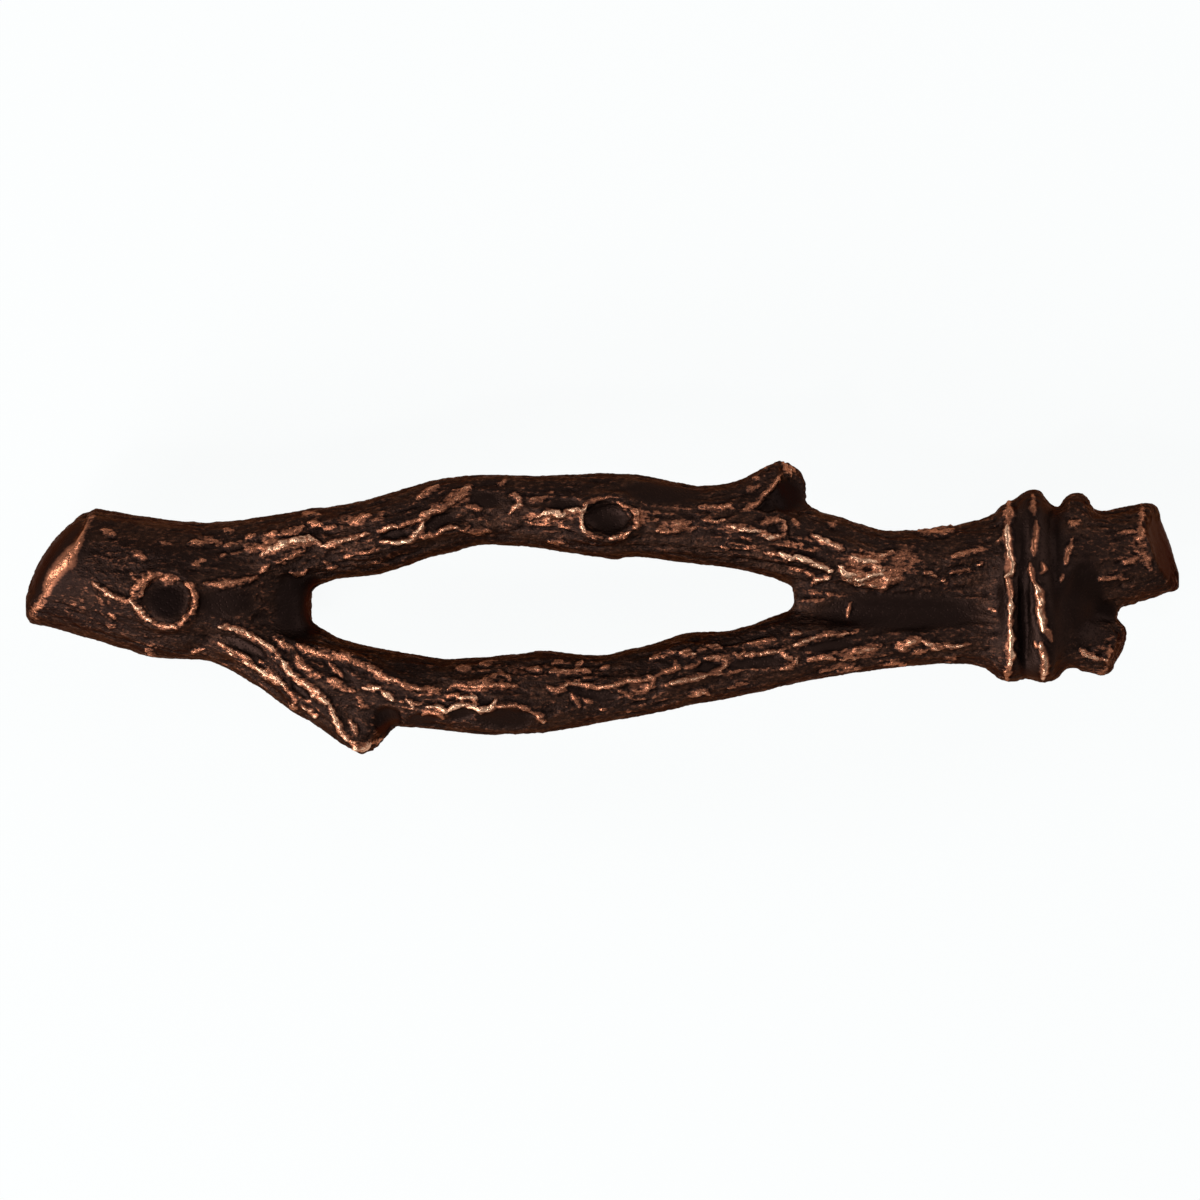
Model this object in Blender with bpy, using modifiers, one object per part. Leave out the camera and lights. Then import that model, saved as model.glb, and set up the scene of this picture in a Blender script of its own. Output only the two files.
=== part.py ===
"""Twig drawer pull: a forked, knotted twig bound at one end, cast in one piece with two tapped posts behind.

X runs along the pull, Y up the drawer and Z out of it. The drawer face is Z = 0, and the origin lies on
it midway between the two screws. Lengths are metres, and the drawn stations below are millimetres.
"""

import math

import bmesh
import bpy
import numpy as np
from mathutils import Matrix

MM = 0.001
NODE = "twig_pull_casting"

# Overall sizes
OVERALL_LENGTH = 0.130
DRAWN_LENGTH = 0.130  # length for which the stations below were drawn
PROJECTION = 0.025  # drawer face to the highest bark
END_DROP = 0.0065  # how much lower the two ends lie than the middle
SECTION_DEPTH = 0.90  # thickness of a limb for each unit of its width

# Posts and their tapped holes, for 8-32 machine screws
HOLE_SPACING = 0.0762
POST_DIAMETER = 0.0090
POST_FILLET = 0.0009
FOOT_CHAMFER = 0.0005
HOLE_DIAMETER = 0.00345
HOLE_DEPTH = 0.0110
HOLE_CHAMFER = 0.0004
DRILL_POINT_ANGLE = 118
CUT_CLEARANCE = 0.001  # how far a cutter stands clear of the face that it enters

# Knots on the front: a flat-floored one on the trunk and a bowl on the upper branch, each in a raised ring
TRUNK_KNOT_AT = (-49.0, 0.8)
TRUNK_KNOT_LENGTH = 0.0056
TRUNK_KNOT_WIDTH = 0.0056
TRUNK_KNOT_DEPTH = 0.0008
TRUNK_KNOT_CORNER = 0.00025  # round where the wall meets the floor
BRANCH_KNOT_AT = (0.5, 10.0)
BRANCH_KNOT_LENGTH = 0.0056
BRANCH_KNOT_WIDTH = 0.0038
BRANCH_KNOT_DEPTH = 0.0013
BRANCH_KNOT_FULLNESS = 0.7  # 1 is an ellipse, less is a steeper wall
KNOT_RING_RADIUS = 0.0005
KNOT_CUTTER_REACH = 0.004  # how far a knot's cutter stands over the bark

# Bark ridges and bindings
RIDGE_RADIUS = 0.0008
RIDGE_SINK = 0.00015
BINDING_DEPTH = 0.0052  # half axis of a binding's round, out of the drawer
BINDING_TAIL = 0.4  # radius at the ends of the open binding, as a share of its full radius
COLLAR_LENGTH = 0.0125
COLLAR_WIDTH = 0.0196
COLLAR_DEPTH = 0.0112
COLLAR_CENTRE = (49.6, 1.7)
TRUNK_END_DOME = 0.0024
TRUNK_END_LIP = 0.0005

# Fineness of the cast skin
SKIN_GRAIN = 0.00045
SKIN_SMOOTHING = 2  # passes
SKIN_SHARE_KEPT = 0.085

# Limb stations: along, across, radius
TRUNK = (
    (-66, 5.4, 6.6), (-61, 4.5, 7.0), (-53.6, 3.0, 7.5), (-46.5, 2.0, 7.5), (-40.5, 1.2, 5.8),
    (-36.3, 0.5, 3.2),
)
UPPER_BRANCH = (
    (-51.0, 3.9, 5.1), (-42.0, 4.6, 5.0), (-35.8, 6.1, 4.5), (-30.7, 7.2, 4.2), (-25.1, 8.1, 4.4),
    (-19.5, 9.9, 4.2), (-14.4, 10.9, 4.0), (-8.2, 10.8, 4.0), (-0.3, 10.2, 4.8), (4.2, 10.2, 4.6),
    (9.8, 9.3, 4.4), (14.8, 9.0, 4.7), (20.5, 7.4, 4.5), (26.1, 5.7, 4.5), (31.2, 4.5, 4.1),
    (37.9, 4.6, 4.3), (44.7, 5.3, 5.0),
)
LOWER_BRANCH = (
    (-51.0, -0.1, 5.4), (-45.3, -1.2, 4.6), (-39.7, -3.7, 4.3), (-34.1, -6.4, 4.3), (-28.5, -8.2, 4.3),
    (-22.8, -9.2, 4.2), (-17.8, -9.8, 4.0), (-12.7, -10.0, 4.5), (-7.1, -9.6, 4.7), (-0.3, -9.2, 3.8),
    (5.3, -8.1, 3.9), (9.8, -7.0, 4.0), (15.4, -6.3, 3.8), (21.0, -4.7, 4.1), (27.8, -3.7, 3.7),
    (34.5, -3.0, 3.6), (41.3, -2.6, 3.8), (45.8, -2.8, 4.5),
)
LEFT_WEB = ((-35.8, 5.3, 3.0), (-35.8, 0.2, 2.9), (-35.6, -5.4, 3.0))
RIGHT_WEB = ((21.6, 1.0, 2.1), (25.5, 0.7, 2.8), (30.0, 0.2, 3.2), (37.9, -0.1, 3.5), (45.8, 0.8, 4.3))
LOWER_STUB = (
    (-44.8, -1.9, 3.3), (-40.3, -4.4, 3.0), (-34.6, -8.2, 3.0), (-28.2, -12.8, 2.7), (-24.3, -15.7, 2.5),
)
UPPER_STUB = ((13.7, 10.0, 3.1), (17.7, 12.1, 2.9), (22.9, 15.2, 2.7))
LARGE_TWIG = ((47.0, 4.4, 6.2), (54.8, 5.6, 5.6), (58.2, 5.7, 5.5), (61.5, 6.3, 5.3), (68.0, 7.6, 4.9))
SMALL_TWIG = ((49.2, -1.7, 4.6), (53.7, -3.5, 3.7), (57.3, -4.8, 3.0), (61.0, -6.2, 2.8))
TWIG_WEB = ((50.0, 1.0, 4.0), (57.9, 0.1, 1.6))
LIMBS = (
    TRUNK, UPPER_BRANCH, LOWER_BRANCH, LEFT_WEB, RIGHT_WEB,
    LOWER_STUB, UPPER_STUB, LARGE_TWIG, SMALL_TWIG, TWIG_WEB,
)

# Bindings round the collar: their line along the front, from top to bottom, and their radius
INNER_BINDING = ((45.9, 12.1), (46.0, 5.3), (45.7, 0.8), (45.8, -3.7), (45.6, -8.6))
INNER_BINDING_RADIUS = 0.0012
OUTER_BINDING = ((48.6, 13.3), (48.4, 9.8), (48.8, 5.3), (49.4, 0.8), (49.8, -3.7), (49.7, -8.8))
OUTER_BINDING_RADIUS = 0.0018
OPEN_BINDING = ((53.4, 13.0), (53.2, 9.8), (52.8, 7.0), (52.1, 4.2), (51.4, 1.5))
OPEN_BINDING_RADIUS = 0.0016
OPEN_BINDING_OVAL = (13.0, -8.8)  # top and bottom of the round that the open binding follows
OPEN_BINDING_START = -60  # degrees behind the top

# Bark ridges on the front: points along and across
BARK_RIDGES = (
    ((-57.4, 2.7), (-55.4, 1.4), (-53.2, 0.5)),
    ((-44.7, 2.5), (-41.3, 2.7), (-39.1, 3.3)),
    ((-38.3, 6.1), (-35.7, 7.2), (-34.0, 7.5), (-32.0, 7.5)),
    ((-38.3, 8.1), (-36.3, 8.2), (-33.7, 9.0)),
    ((-38.5, 3.9), (-37.4, 5.0), (-35.2, 5.9), (-33.5, 6.3)),
    ((-32.9, 9.2), (-30.7, 9.5), (-29.0, 8.9)),
    ((-28.4, 9.6), (-26.2, 10.1), (-24.7, 10.2)),
    ((-31.8, 6.9), (-28.4, 7.5), (-23.9, 9.1), (-21.1, 9.8), (-17.7, 11.5), (-14.9, 13.0)),
    ((-29.0, 5.9), (-26.7, 6.1), (-23.3, 7.0), (-20.5, 8.1), (-17.2, 8.9), (-12.1, 8.6)),
    ((-9.3, 11.0), (-6.1, 10.6), (-3.1, 10.0)),
    ((5.3, 9.2), (8.7, 8.4)),
    ((11.0, 11.5), (15.5, 11.1)),
    ((11.0, 9.8), (16.6, 8.7), (20.0, 7.9)),
    ((18.3, 6.2), (22.2, 5.3), (27.8, 3.9)),
    ((23.9, 8.1), (27.8, 6.4), (31.2, 5.3)),
    ((36.8, 3.9), (39.7, 5.3), (43.0, 6.5)),
    ((-43.3, -2.0), (-40.8, -2.6), (-38.5, -3.7), (-35.7, -6.5), (-32.0, -9.6), (-30.1, -12.7),
     (-27.5, -15.4)),
    ((-43.6, -4.3), (-39.1, -6.5), (-34.0, -10.4), (-32.0, -12.0)),
    ((-36.8, -3.4), (-32.3, -4.8), (-27.3, -6.2), (-21.7, -8.8), (-18.3, -9.3)),
    ((-34.6, -5.4), (-30.7, -8.6), (-28.4, -9.6)),
    ((-27.1, -8.9), (-23.3, -10.2)),
    ((-21.9, -10.5), (-18.3, -11.8), (-16.6, -11.1), (-14.9, -10.8), (-13.2, -11.5), (-9.8, -11.0),
     (-6.5, -12.3)),
    ((-17.7, -8.3), (-13.8, -8.7), (-9.8, -8.8)),
    ((-2.0, -8.6), (0.8, -8.8), (4.2, -8.2), (7.0, -6.9), (9.8, -6.0), (12.7, -5.4)),
    ((5.3, -8.4), (8.2, -8.4), (11.0, -7.7), (13.8, -6.4)),
    ((5.9, -5.6), (8.7, -4.8), (12.1, -4.3)),
    ((21.1, -2.4), (25.6, -2.9), (28.4, -2.4)),
    ((21.7, -4.5), (25.6, -5.4), (30.1, -4.3)),
    ((32.9, -4.6), (35.2, -3.5), (38.5, -4.3), (43.0, -4.0)),
)

# Cut ends: centre along and across, bearing of the outward normal, its lean to the front, half width
TRUNK_CUT = ((-60.9, 4.5), 149, 0, 11.0)
LARGE_TWIG_CUT = ((62.9, 6.6), 17, 14, 6.5)
SMALL_TWIG_CUT = ((57.6, -5.0), -25, 12, 3.6)
UPPER_STUB_CUT = ((21.2, 13.8), 23, 32, 3.7)
LOWER_STUB_CUT = ((-25.7, -15.1), -52, 22, 3.2)
CUTTER_LENGTH = 0.012
CUTTER_HEIGHT = 0.024

# Worked out from the sizes above
STRETCH = OVERALL_LENGTH / DRAWN_LENGTH
WIDEST_BRANCH = max(radius for _, _, radius in UPPER_BRANCH) * MM
MIDDLE_HEIGHT = PROJECTION - WIDEST_BRANCH * SECTION_DEPTH - RIDGE_RADIUS / 2
BACK_DEPTH = min(radius for _, _, radius in LEFT_WEB) * MM * SECTION_DEPTH


def along(x):
    """A drawn distance along the pull, in metres."""
    return x * MM * STRETCH


def arch_height(x):
    """Height of the twig's middle plane above the drawer face at x, both in metres."""
    return MIDDLE_HEIGHT - END_DROP * (2 * x / OVERALL_LENGTH) ** 2


def front_height(x, y):
    """Height of the limbs' front over their middle plane, at a drawn point along and across."""
    highest = 0.0
    for stations in LIMBS:
        for (ax, ay, ar), (bx, by, br) in zip(stations, stations[1:]):
            run, rise = (bx - ax) * STRETCH, by - ay
            off_x, off_y = (x - ax) * STRETCH, y - ay
            share = min(1.0, max(0.0, (off_x * run + off_y * rise) / (run * run + rise * rise)))
            radius = ar + (br - ar) * share
            apart = math.hypot(off_x - run * share, off_y - rise * share)
            highest = max(highest, radius * radius - apart * apart)
    return math.sqrt(highest) * MM


def tube_mesh(points, radii, closed=False):
    """The mesh of a smooth tube through the points, with its own radius at each one."""
    curve = bpy.data.curves.new("tube", "CURVE")
    curve.dimensions = "3D"
    curve.bevel_depth = 1.0
    curve.bevel_resolution = 4
    curve.resolution_u = 8
    curve.use_fill_caps = not closed
    spline = curve.splines.new("BEZIER")
    spline.bezier_points.add(len(points) - 1)
    spline.use_cyclic_u = closed
    for knot, point, radius in zip(spline.bezier_points, points, radii):
        knot.co = point
        knot.radius = radius
        knot.handle_left_type = knot.handle_right_type = "AUTO"
    tube = bpy.data.objects.new("tube", curve)
    bpy.context.scene.collection.objects.link(tube)
    bpy.context.view_layer.update()
    evaluated = tube.evaluated_get(bpy.context.evaluated_depsgraph_get())
    mesh = bpy.data.meshes.new_from_object(evaluated)
    bpy.data.objects.remove(tube)
    return mesh


def limb_mesh(stations):
    points = [(along(x), y * MM, 0.0) for x, y, _ in stations]
    return tube_mesh(points, [radius * MM for _, _, radius in stations])


def ridge_mesh(stroke):
    """A bark ridge: a thin tube that lies in the front of the limbs and fades at both ends."""
    points = [(along(x), y * MM, front_height(x, y) - RIDGE_SINK) for x, y in stroke]
    radii = [RIDGE_RADIUS] * len(points)
    radii[0] = radii[-1] = RIDGE_RADIUS / 2
    return tube_mesh(points, radii)


def binding_points(front_line, radius, oval, start, end, steps):
    """Points on an oval round the collar, from the start angle to the end angle, in degrees from its top."""
    top, bottom = (y * MM for y in oval)
    middle = (top + bottom) / 2
    reach = (top - bottom) / 2 - radius
    line_y = [y * MM for _, y in reversed(front_line)]
    line_x = [along(x) for x, _ in reversed(front_line)]
    points = []
    for step in range(steps):
        angle = math.radians(start + (end - start) * step / (steps - 1))
        y = middle + reach * math.cos(angle)
        points.append((np.interp(y, line_y, line_x), y, BINDING_DEPTH * math.sin(angle)))
    return points


def binding_mesh(front_line, radius):
    """A binding that goes all the way round."""
    oval = (front_line[0][1], front_line[-1][1])
    points = binding_points(front_line, radius, oval, 0, 345, 24)
    return tube_mesh(points, [radius] * len(points), closed=True)


def open_binding_mesh():
    """A binding that comes over the top and dies out on the front."""
    top, bottom = OPEN_BINDING_OVAL
    end = math.degrees(math.acos(1 - 2 * (top - OPEN_BINDING[-1][1]) / (top - bottom)))
    points = binding_points(OPEN_BINDING, OPEN_BINDING_RADIUS, OPEN_BINDING_OVAL, OPEN_BINDING_START, end, 16)
    from_middle = np.abs(np.linspace(-1, 1, len(points)))
    return tube_mesh(points, list(OPEN_BINDING_RADIUS * (1 - (1 - BINDING_TAIL) * from_middle**3)))


def knot_ring_mesh(at, length, width):
    """The raised lip round a knot, laid on the bark."""
    points = []
    for step in range(16):
        angle = math.tau * step / 16
        x = at[0] + math.cos(angle) * (length / 2 + KNOT_RING_RADIUS) / (MM * STRETCH)
        y = at[1] + math.sin(angle) * (width / 2 + KNOT_RING_RADIUS) / MM
        points.append((along(x), y * MM, front_height(x, y)))
    return tube_mesh(points, [KNOT_RING_RADIUS] * len(points), closed=True)


def collar_mesh():
    """The swelling under the bindings."""
    bm = bmesh.new()
    bmesh.ops.create_uvsphere(bm, u_segments=32, v_segments=24, radius=0.5)
    bmesh.ops.scale(bm, vec=(COLLAR_LENGTH, COLLAR_WIDTH, COLLAR_DEPTH), verts=bm.verts)
    bmesh.ops.translate(bm, vec=(along(COLLAR_CENTRE[0]), COLLAR_CENTRE[1] * MM, 0), verts=bm.verts)
    mesh = bpy.data.meshes.new("collar")
    bm.to_mesh(mesh)
    bm.free()
    return mesh


def twig_pieces():
    """Every form that the mould's pattern was built from, on a straight middle plane."""
    pieces = [limb_mesh(stations) for stations in LIMBS]
    pieces += [ridge_mesh(stroke) for stroke in BARK_RIDGES]
    pieces.append(collar_mesh())
    pieces.append(binding_mesh(INNER_BINDING, INNER_BINDING_RADIUS))
    pieces.append(binding_mesh(OUTER_BINDING, OUTER_BINDING_RADIUS))
    pieces.append(open_binding_mesh())
    pieces.append(knot_ring_mesh(TRUNK_KNOT_AT, TRUNK_KNOT_LENGTH, TRUNK_KNOT_WIDTH))
    pieces.append(knot_ring_mesh(BRANCH_KNOT_AT, BRANCH_KNOT_LENGTH, BRANCH_KNOT_WIDTH))
    return pieces


def twig_skin():
    """One smooth closed skin over all the forms, bent to the arch of the pull."""
    bm = bmesh.new()
    for mesh in twig_pieces():
        bm.from_mesh(mesh)
        bpy.data.meshes.remove(mesh)
    bmesh.ops.remove_doubles(bm, verts=bm.verts, dist=1e-7)
    bmesh.ops.scale(bm, vec=(1, 1, SECTION_DEPTH), verts=bm.verts)
    rough = bpy.data.meshes.new("rough")
    bm.to_mesh(rough)
    bm.free()
    pattern = bpy.data.objects.new("pattern", rough)
    bpy.context.scene.collection.objects.link(pattern)
    remesh = pattern.modifiers.new("skin", "REMESH")
    remesh.mode = "VOXEL"
    remesh.voxel_size = SKIN_GRAIN
    smooth = pattern.modifiers.new("fillets", "SMOOTH")
    smooth.iterations = round(SKIN_SMOOTHING)
    lighter = pattern.modifiers.new("lighter", "DECIMATE")
    lighter.ratio = SKIN_SHARE_KEPT
    bpy.context.view_layer.update()
    evaluated = pattern.evaluated_get(bpy.context.evaluated_depsgraph_get())
    skin = bpy.data.meshes.new_from_object(evaluated)
    skin.name = NODE
    bpy.data.objects.remove(pattern)
    for vertex in skin.vertices:
        vertex.co.z += arch_height(vertex.co.x)
    return skin


def cut_frame(cut):
    """A cut end's place on the arched middle plane, with X along its outward normal."""
    (x, y), bearing, lean, _ = cut
    turn = Matrix.Rotation(math.radians(bearing), 4, "Z") @ Matrix.Rotation(math.radians(-lean), 4, "Y")
    return Matrix.Translation((along(x), y * MM, arch_height(along(x)))) @ turn


def helper(name, mesh, collection, place=None):
    """An object that only cuts or joins, so it isn't part of the pull."""
    obj = bpy.data.objects.new(name, mesh)
    collection.objects.link(obj)
    obj.matrix_world = place or Matrix.Identity(4)
    obj.hide_render = True
    obj.display_type = "WIRE"
    return obj


def end_cutter(name, cut, collection):
    """A block whose near face is the cut end's plane."""
    bm = bmesh.new()
    bmesh.ops.create_cube(bm, size=1.0)
    size = (CUTTER_LENGTH, 2 * cut[3] * MM, CUTTER_HEIGHT)
    bmesh.ops.scale(bm, vec=size, verts=bm.verts)
    bmesh.ops.translate(bm, vec=(size[0] / 2, 0, 0), verts=bm.verts)
    mesh = bpy.data.meshes.new(name)
    bm.to_mesh(mesh)
    bm.free()
    return helper(name, mesh, collection, cut_frame(cut))


def trunk_dome(collection):
    """The crown of the sawn trunk end, inside the lip of bark."""
    places, radii = [x for x, _, _ in TRUNK], [radius for _, _, radius in TRUNK]
    radius = np.interp(TRUNK_CUT[0][0], places, radii) * MM - TRUNK_END_LIP
    bm = bmesh.new()
    bmesh.ops.create_uvsphere(bm, u_segments=32, v_segments=12, radius=1.0)
    bmesh.ops.rotate(bm, matrix=Matrix.Rotation(math.pi / 2, 3, "Y"), verts=bm.verts)
    bmesh.ops.scale(bm, vec=(TRUNK_END_DOME, radius, radius * SECTION_DEPTH), verts=bm.verts)
    mesh = bpy.data.meshes.new("trunk_dome")
    bm.to_mesh(mesh)
    bm.free()
    return helper("trunk_dome", mesh, collection, cut_frame(TRUNK_CUT))


def turned(name, profile, collection, x, y=0.0, z=0.0, across=1.0, steps=28):
    """A turned helper: its profile's points are radius and height, from the top down its outer side."""
    mesh = bpy.data.meshes.new(name)
    bm = bmesh.new()
    line = [bm.verts.new((radius, 0, height)) for radius, height in profile]
    for first, second in zip(line, line[1:]):
        bm.edges.new((first, second))
    bm.to_mesh(mesh)
    bm.free()
    obj = helper(name, mesh, collection, Matrix.Translation((x, y, z)) @ Matrix.Scale(across, 4, (0, 1, 0)))
    lathe = obj.modifiers.new("lathe", "SCREW")
    lathe.steps = lathe.render_steps = steps
    lathe.use_merge_vertices = True
    lathe.merge_threshold = 1e-6
    return obj


def post(name, x, collection):
    """A round post from the drawer face into the twig, filleted where it meets the back."""
    radius = POST_DIAMETER / 2
    top = arch_height(x)
    back = top - BACK_DEPTH
    profile = [(0, top), (radius + POST_FILLET, top), (radius + POST_FILLET, back)]
    for angle in np.linspace(0, math.pi / 2, 6)[1:]:
        out = POST_FILLET * (1 - math.sin(angle))
        profile.append((radius + out, back - POST_FILLET * (1 - math.cos(angle))))
    profile += [(radius, FOOT_CHAMFER), (radius - FOOT_CHAMFER, 0), (0, 0)]
    return turned(name, profile, collection, x)


def drill(name, x, collection):
    """The tapped hole's drill, with its pointed end and the chamfer at the mouth."""
    radius = HOLE_DIAMETER / 2
    point = radius / math.tan(math.radians(DRILL_POINT_ANGLE / 2))
    profile = [(0, HOLE_DEPTH + point), (radius, HOLE_DEPTH), (radius, HOLE_CHAMFER)]
    profile += [(radius + HOLE_CHAMFER, 0), (radius + HOLE_CHAMFER, -CUT_CLEARANCE), (0, -CUT_CLEARANCE)]
    return turned(name, profile, collection, x)


def trunk_knot_cutter(collection):
    """A flat-floored sinking."""
    x, y = TRUNK_KNOT_AT
    floor = arch_height(along(x)) + front_height(x, y) * SECTION_DEPTH - TRUNK_KNOT_DEPTH
    radius = TRUNK_KNOT_LENGTH / 2
    profile = [(0, KNOT_CUTTER_REACH), (radius, KNOT_CUTTER_REACH), (radius, TRUNK_KNOT_CORNER)]
    profile += [(radius - TRUNK_KNOT_CORNER, 0), (0, 0)]
    across = TRUNK_KNOT_WIDTH / TRUNK_KNOT_LENGTH
    return turned("trunk_knot", profile, collection, along(x), y * MM, floor, across)


def branch_knot_cutter(collection):
    """A bowl-shaped hollow."""
    x, y = BRANCH_KNOT_AT
    top = arch_height(along(x)) + front_height(x, y) * SECTION_DEPTH
    radius = BRANCH_KNOT_LENGTH / 2
    profile = [(0, KNOT_CUTTER_REACH), (radius, KNOT_CUTTER_REACH)]
    for angle in np.linspace(0, math.pi / 2, 8, endpoint=False):
        out = radius * math.cos(angle) ** BRANCH_KNOT_FULLNESS
        profile.append((out, -BRANCH_KNOT_DEPTH * math.sin(angle)))
    profile.append((0, -BRANCH_KNOT_DEPTH))
    across = BRANCH_KNOT_WIDTH / BRANCH_KNOT_LENGTH
    return turned("branch_knot", profile, collection, along(x), y * MM, top, across)


def combine(obj, other, operation):
    boolean = obj.modifiers.new(other.name, "BOOLEAN")
    boolean.operation = operation
    boolean.object = other


def patina_material():
    """Dark brown patina over cast bronze."""
    material = bpy.data.materials.new("patinated_bronze")
    material.use_nodes = True
    shader = material.node_tree.nodes["Principled BSDF"]
    shader.inputs["Base Color"].default_value = (0.055, 0.028, 0.018, 1)
    shader.inputs["Metallic"].default_value = 0.9
    shader.inputs["Roughness"].default_value = 0.42
    return material


def build():
    for old in list(bpy.data.objects):
        bpy.data.objects.remove(old)
    parts = bpy.data.collections.new("twig_drawer_pull")
    helpers = bpy.data.collections.new("cutters_and_cores")
    for collection in (parts, helpers):
        bpy.context.scene.collection.children.link(collection)

    casting = bpy.data.objects.new(NODE, twig_skin())
    parts.objects.link(casting)
    casting.data.materials.append(patina_material())

    cuts = {
        "trunk_cut": TRUNK_CUT,
        "large_twig_cut": LARGE_TWIG_CUT,
        "small_twig_cut": SMALL_TWIG_CUT,
        "upper_stub_cut": UPPER_STUB_CUT,
        "lower_stub_cut": LOWER_STUB_CUT,
    }
    for name, cut in cuts.items():
        combine(casting, end_cutter(name, cut, helpers), "DIFFERENCE")
    combine(casting, trunk_dome(helpers), "UNION")
    for side, x in (("left", -HOLE_SPACING / 2), ("right", HOLE_SPACING / 2)):
        combine(casting, post(f"{side}_post", x, helpers), "UNION")
        combine(casting, drill(f"{side}_drill", x, helpers), "DIFFERENCE")
    combine(casting, trunk_knot_cutter(helpers), "DIFFERENCE")
    combine(casting, branch_knot_cutter(helpers), "DIFFERENCE")

    casting.data.shade_smooth()
    casting.data.set_sharp_from_angle(angle=math.radians(50))


build()
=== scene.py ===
import math

import bmesh
import bpy
import numpy as np
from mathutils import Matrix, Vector, noise


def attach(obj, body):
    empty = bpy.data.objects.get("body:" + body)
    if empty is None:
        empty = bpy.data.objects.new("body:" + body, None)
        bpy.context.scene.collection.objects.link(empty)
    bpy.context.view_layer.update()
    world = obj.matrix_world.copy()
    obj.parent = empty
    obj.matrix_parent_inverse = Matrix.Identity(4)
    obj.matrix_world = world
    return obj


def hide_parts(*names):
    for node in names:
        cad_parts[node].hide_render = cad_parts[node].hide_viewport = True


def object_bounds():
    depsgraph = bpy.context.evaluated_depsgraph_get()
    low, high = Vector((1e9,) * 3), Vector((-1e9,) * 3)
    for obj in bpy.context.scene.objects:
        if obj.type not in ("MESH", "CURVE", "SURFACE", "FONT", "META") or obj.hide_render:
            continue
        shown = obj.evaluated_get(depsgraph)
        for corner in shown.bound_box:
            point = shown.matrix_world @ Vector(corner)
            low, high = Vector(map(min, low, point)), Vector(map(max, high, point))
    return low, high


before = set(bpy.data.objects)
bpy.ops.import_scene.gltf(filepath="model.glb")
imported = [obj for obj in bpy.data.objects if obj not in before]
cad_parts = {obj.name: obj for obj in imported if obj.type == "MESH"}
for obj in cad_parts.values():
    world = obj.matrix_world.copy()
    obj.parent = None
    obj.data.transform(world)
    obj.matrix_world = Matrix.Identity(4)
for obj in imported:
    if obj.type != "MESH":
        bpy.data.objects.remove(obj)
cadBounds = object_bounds()
print("Frame loaded")

mm = 0.001
castingNode = "twig_pull_casting"
scene = bpy.context.scene

# The camera looks straight down: place in m, lens and sensor in mm, and the photo's width in pixels
camera = {
    "x": -0.00028,
    "y": 0.00079,
    "z": 3.762,
    "lens": 1000,
    "sensor": 36,
    "clipEnd": 50,  # m
    "pictureWidth": 1200,
}


# Where points of the pull are seen in the photo, in pixels
def picturePixels(points):
    width = camera["pictureWidth"]
    scale = width * camera["lens"] / camera["sensor"] / (camera["z"] - points[:, 2])
    middle = width / 2
    across = middle + (points[:, 0] - camera["x"]) * scale
    down = middle - (points[:, 1] - camera["y"]) * scale
    return np.stack([across, down], axis=1)


# Sizes in mm unless a note says otherwise; pixels are the photo's
bark = {
    "voxel": 0.00017,  # m
    "quickVoxel": 0.00030,  # m
    "creaseAngle": 38,  # degrees between faces from which an edge of the casting stays crisp
    "fairing": 9,  # passes, as in the two below
    "swellPasses": 12,
    "crestPasses": 14,
    "frontHeights": (0.0095, 0.0125),  # m over the drawer face, between back and front
    "postTop": 0.0135,  # m over the drawer face, below which the posts stay smooth
    "postFade": 0.0015,  # m
    "trunkFork": (150, 240),  # pixels across, between the trunk and the branches
    "bindings": (1036, 590, 44, 108),  # pixels: centre, half width, half height
    "ridgeLift": 0.058,  # for each pixel of a ridge's width
    "widest": 6.5,  # pixels of width above which a ridge gets no higher
    "wander": 1.1,  # pixels that a ridge strays from its drawn line
    "fray": 0.40,  # how far streaks and specks break up a ridge, as a share of its width
    "moat": 0.3,  # how deep the bark is sunk beside a ridge, as a share of its height
    "moatEnd": 0.06,  # height of another ridge at which that ends
    "ribLift": 0.085,  # broad ribs along the limbs
    "streakLift": 0.085,  # narrow streaks along the limbs
    "wornFlat": 0.5,  # where the tops of ribs and streaks are worn flat
    "grainLift": 0.052,
    "crackDepth": 0.25,
    "crestSize": 0.06,  # how far a full crest stands over the bark round it
    "edgeShare": 0.12,  # height of a rubbed edge, as a share of a ridge's
    "strayScale": 1100,  # lumps to a metre, as in the five below
    "fineStrayScale": 3000,
    "swellScale": 1500,
    "ribScale": 850,
    "streakScale": 2000,
    "speckScale": 3600,
    "triangles": 197000,
}

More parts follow.
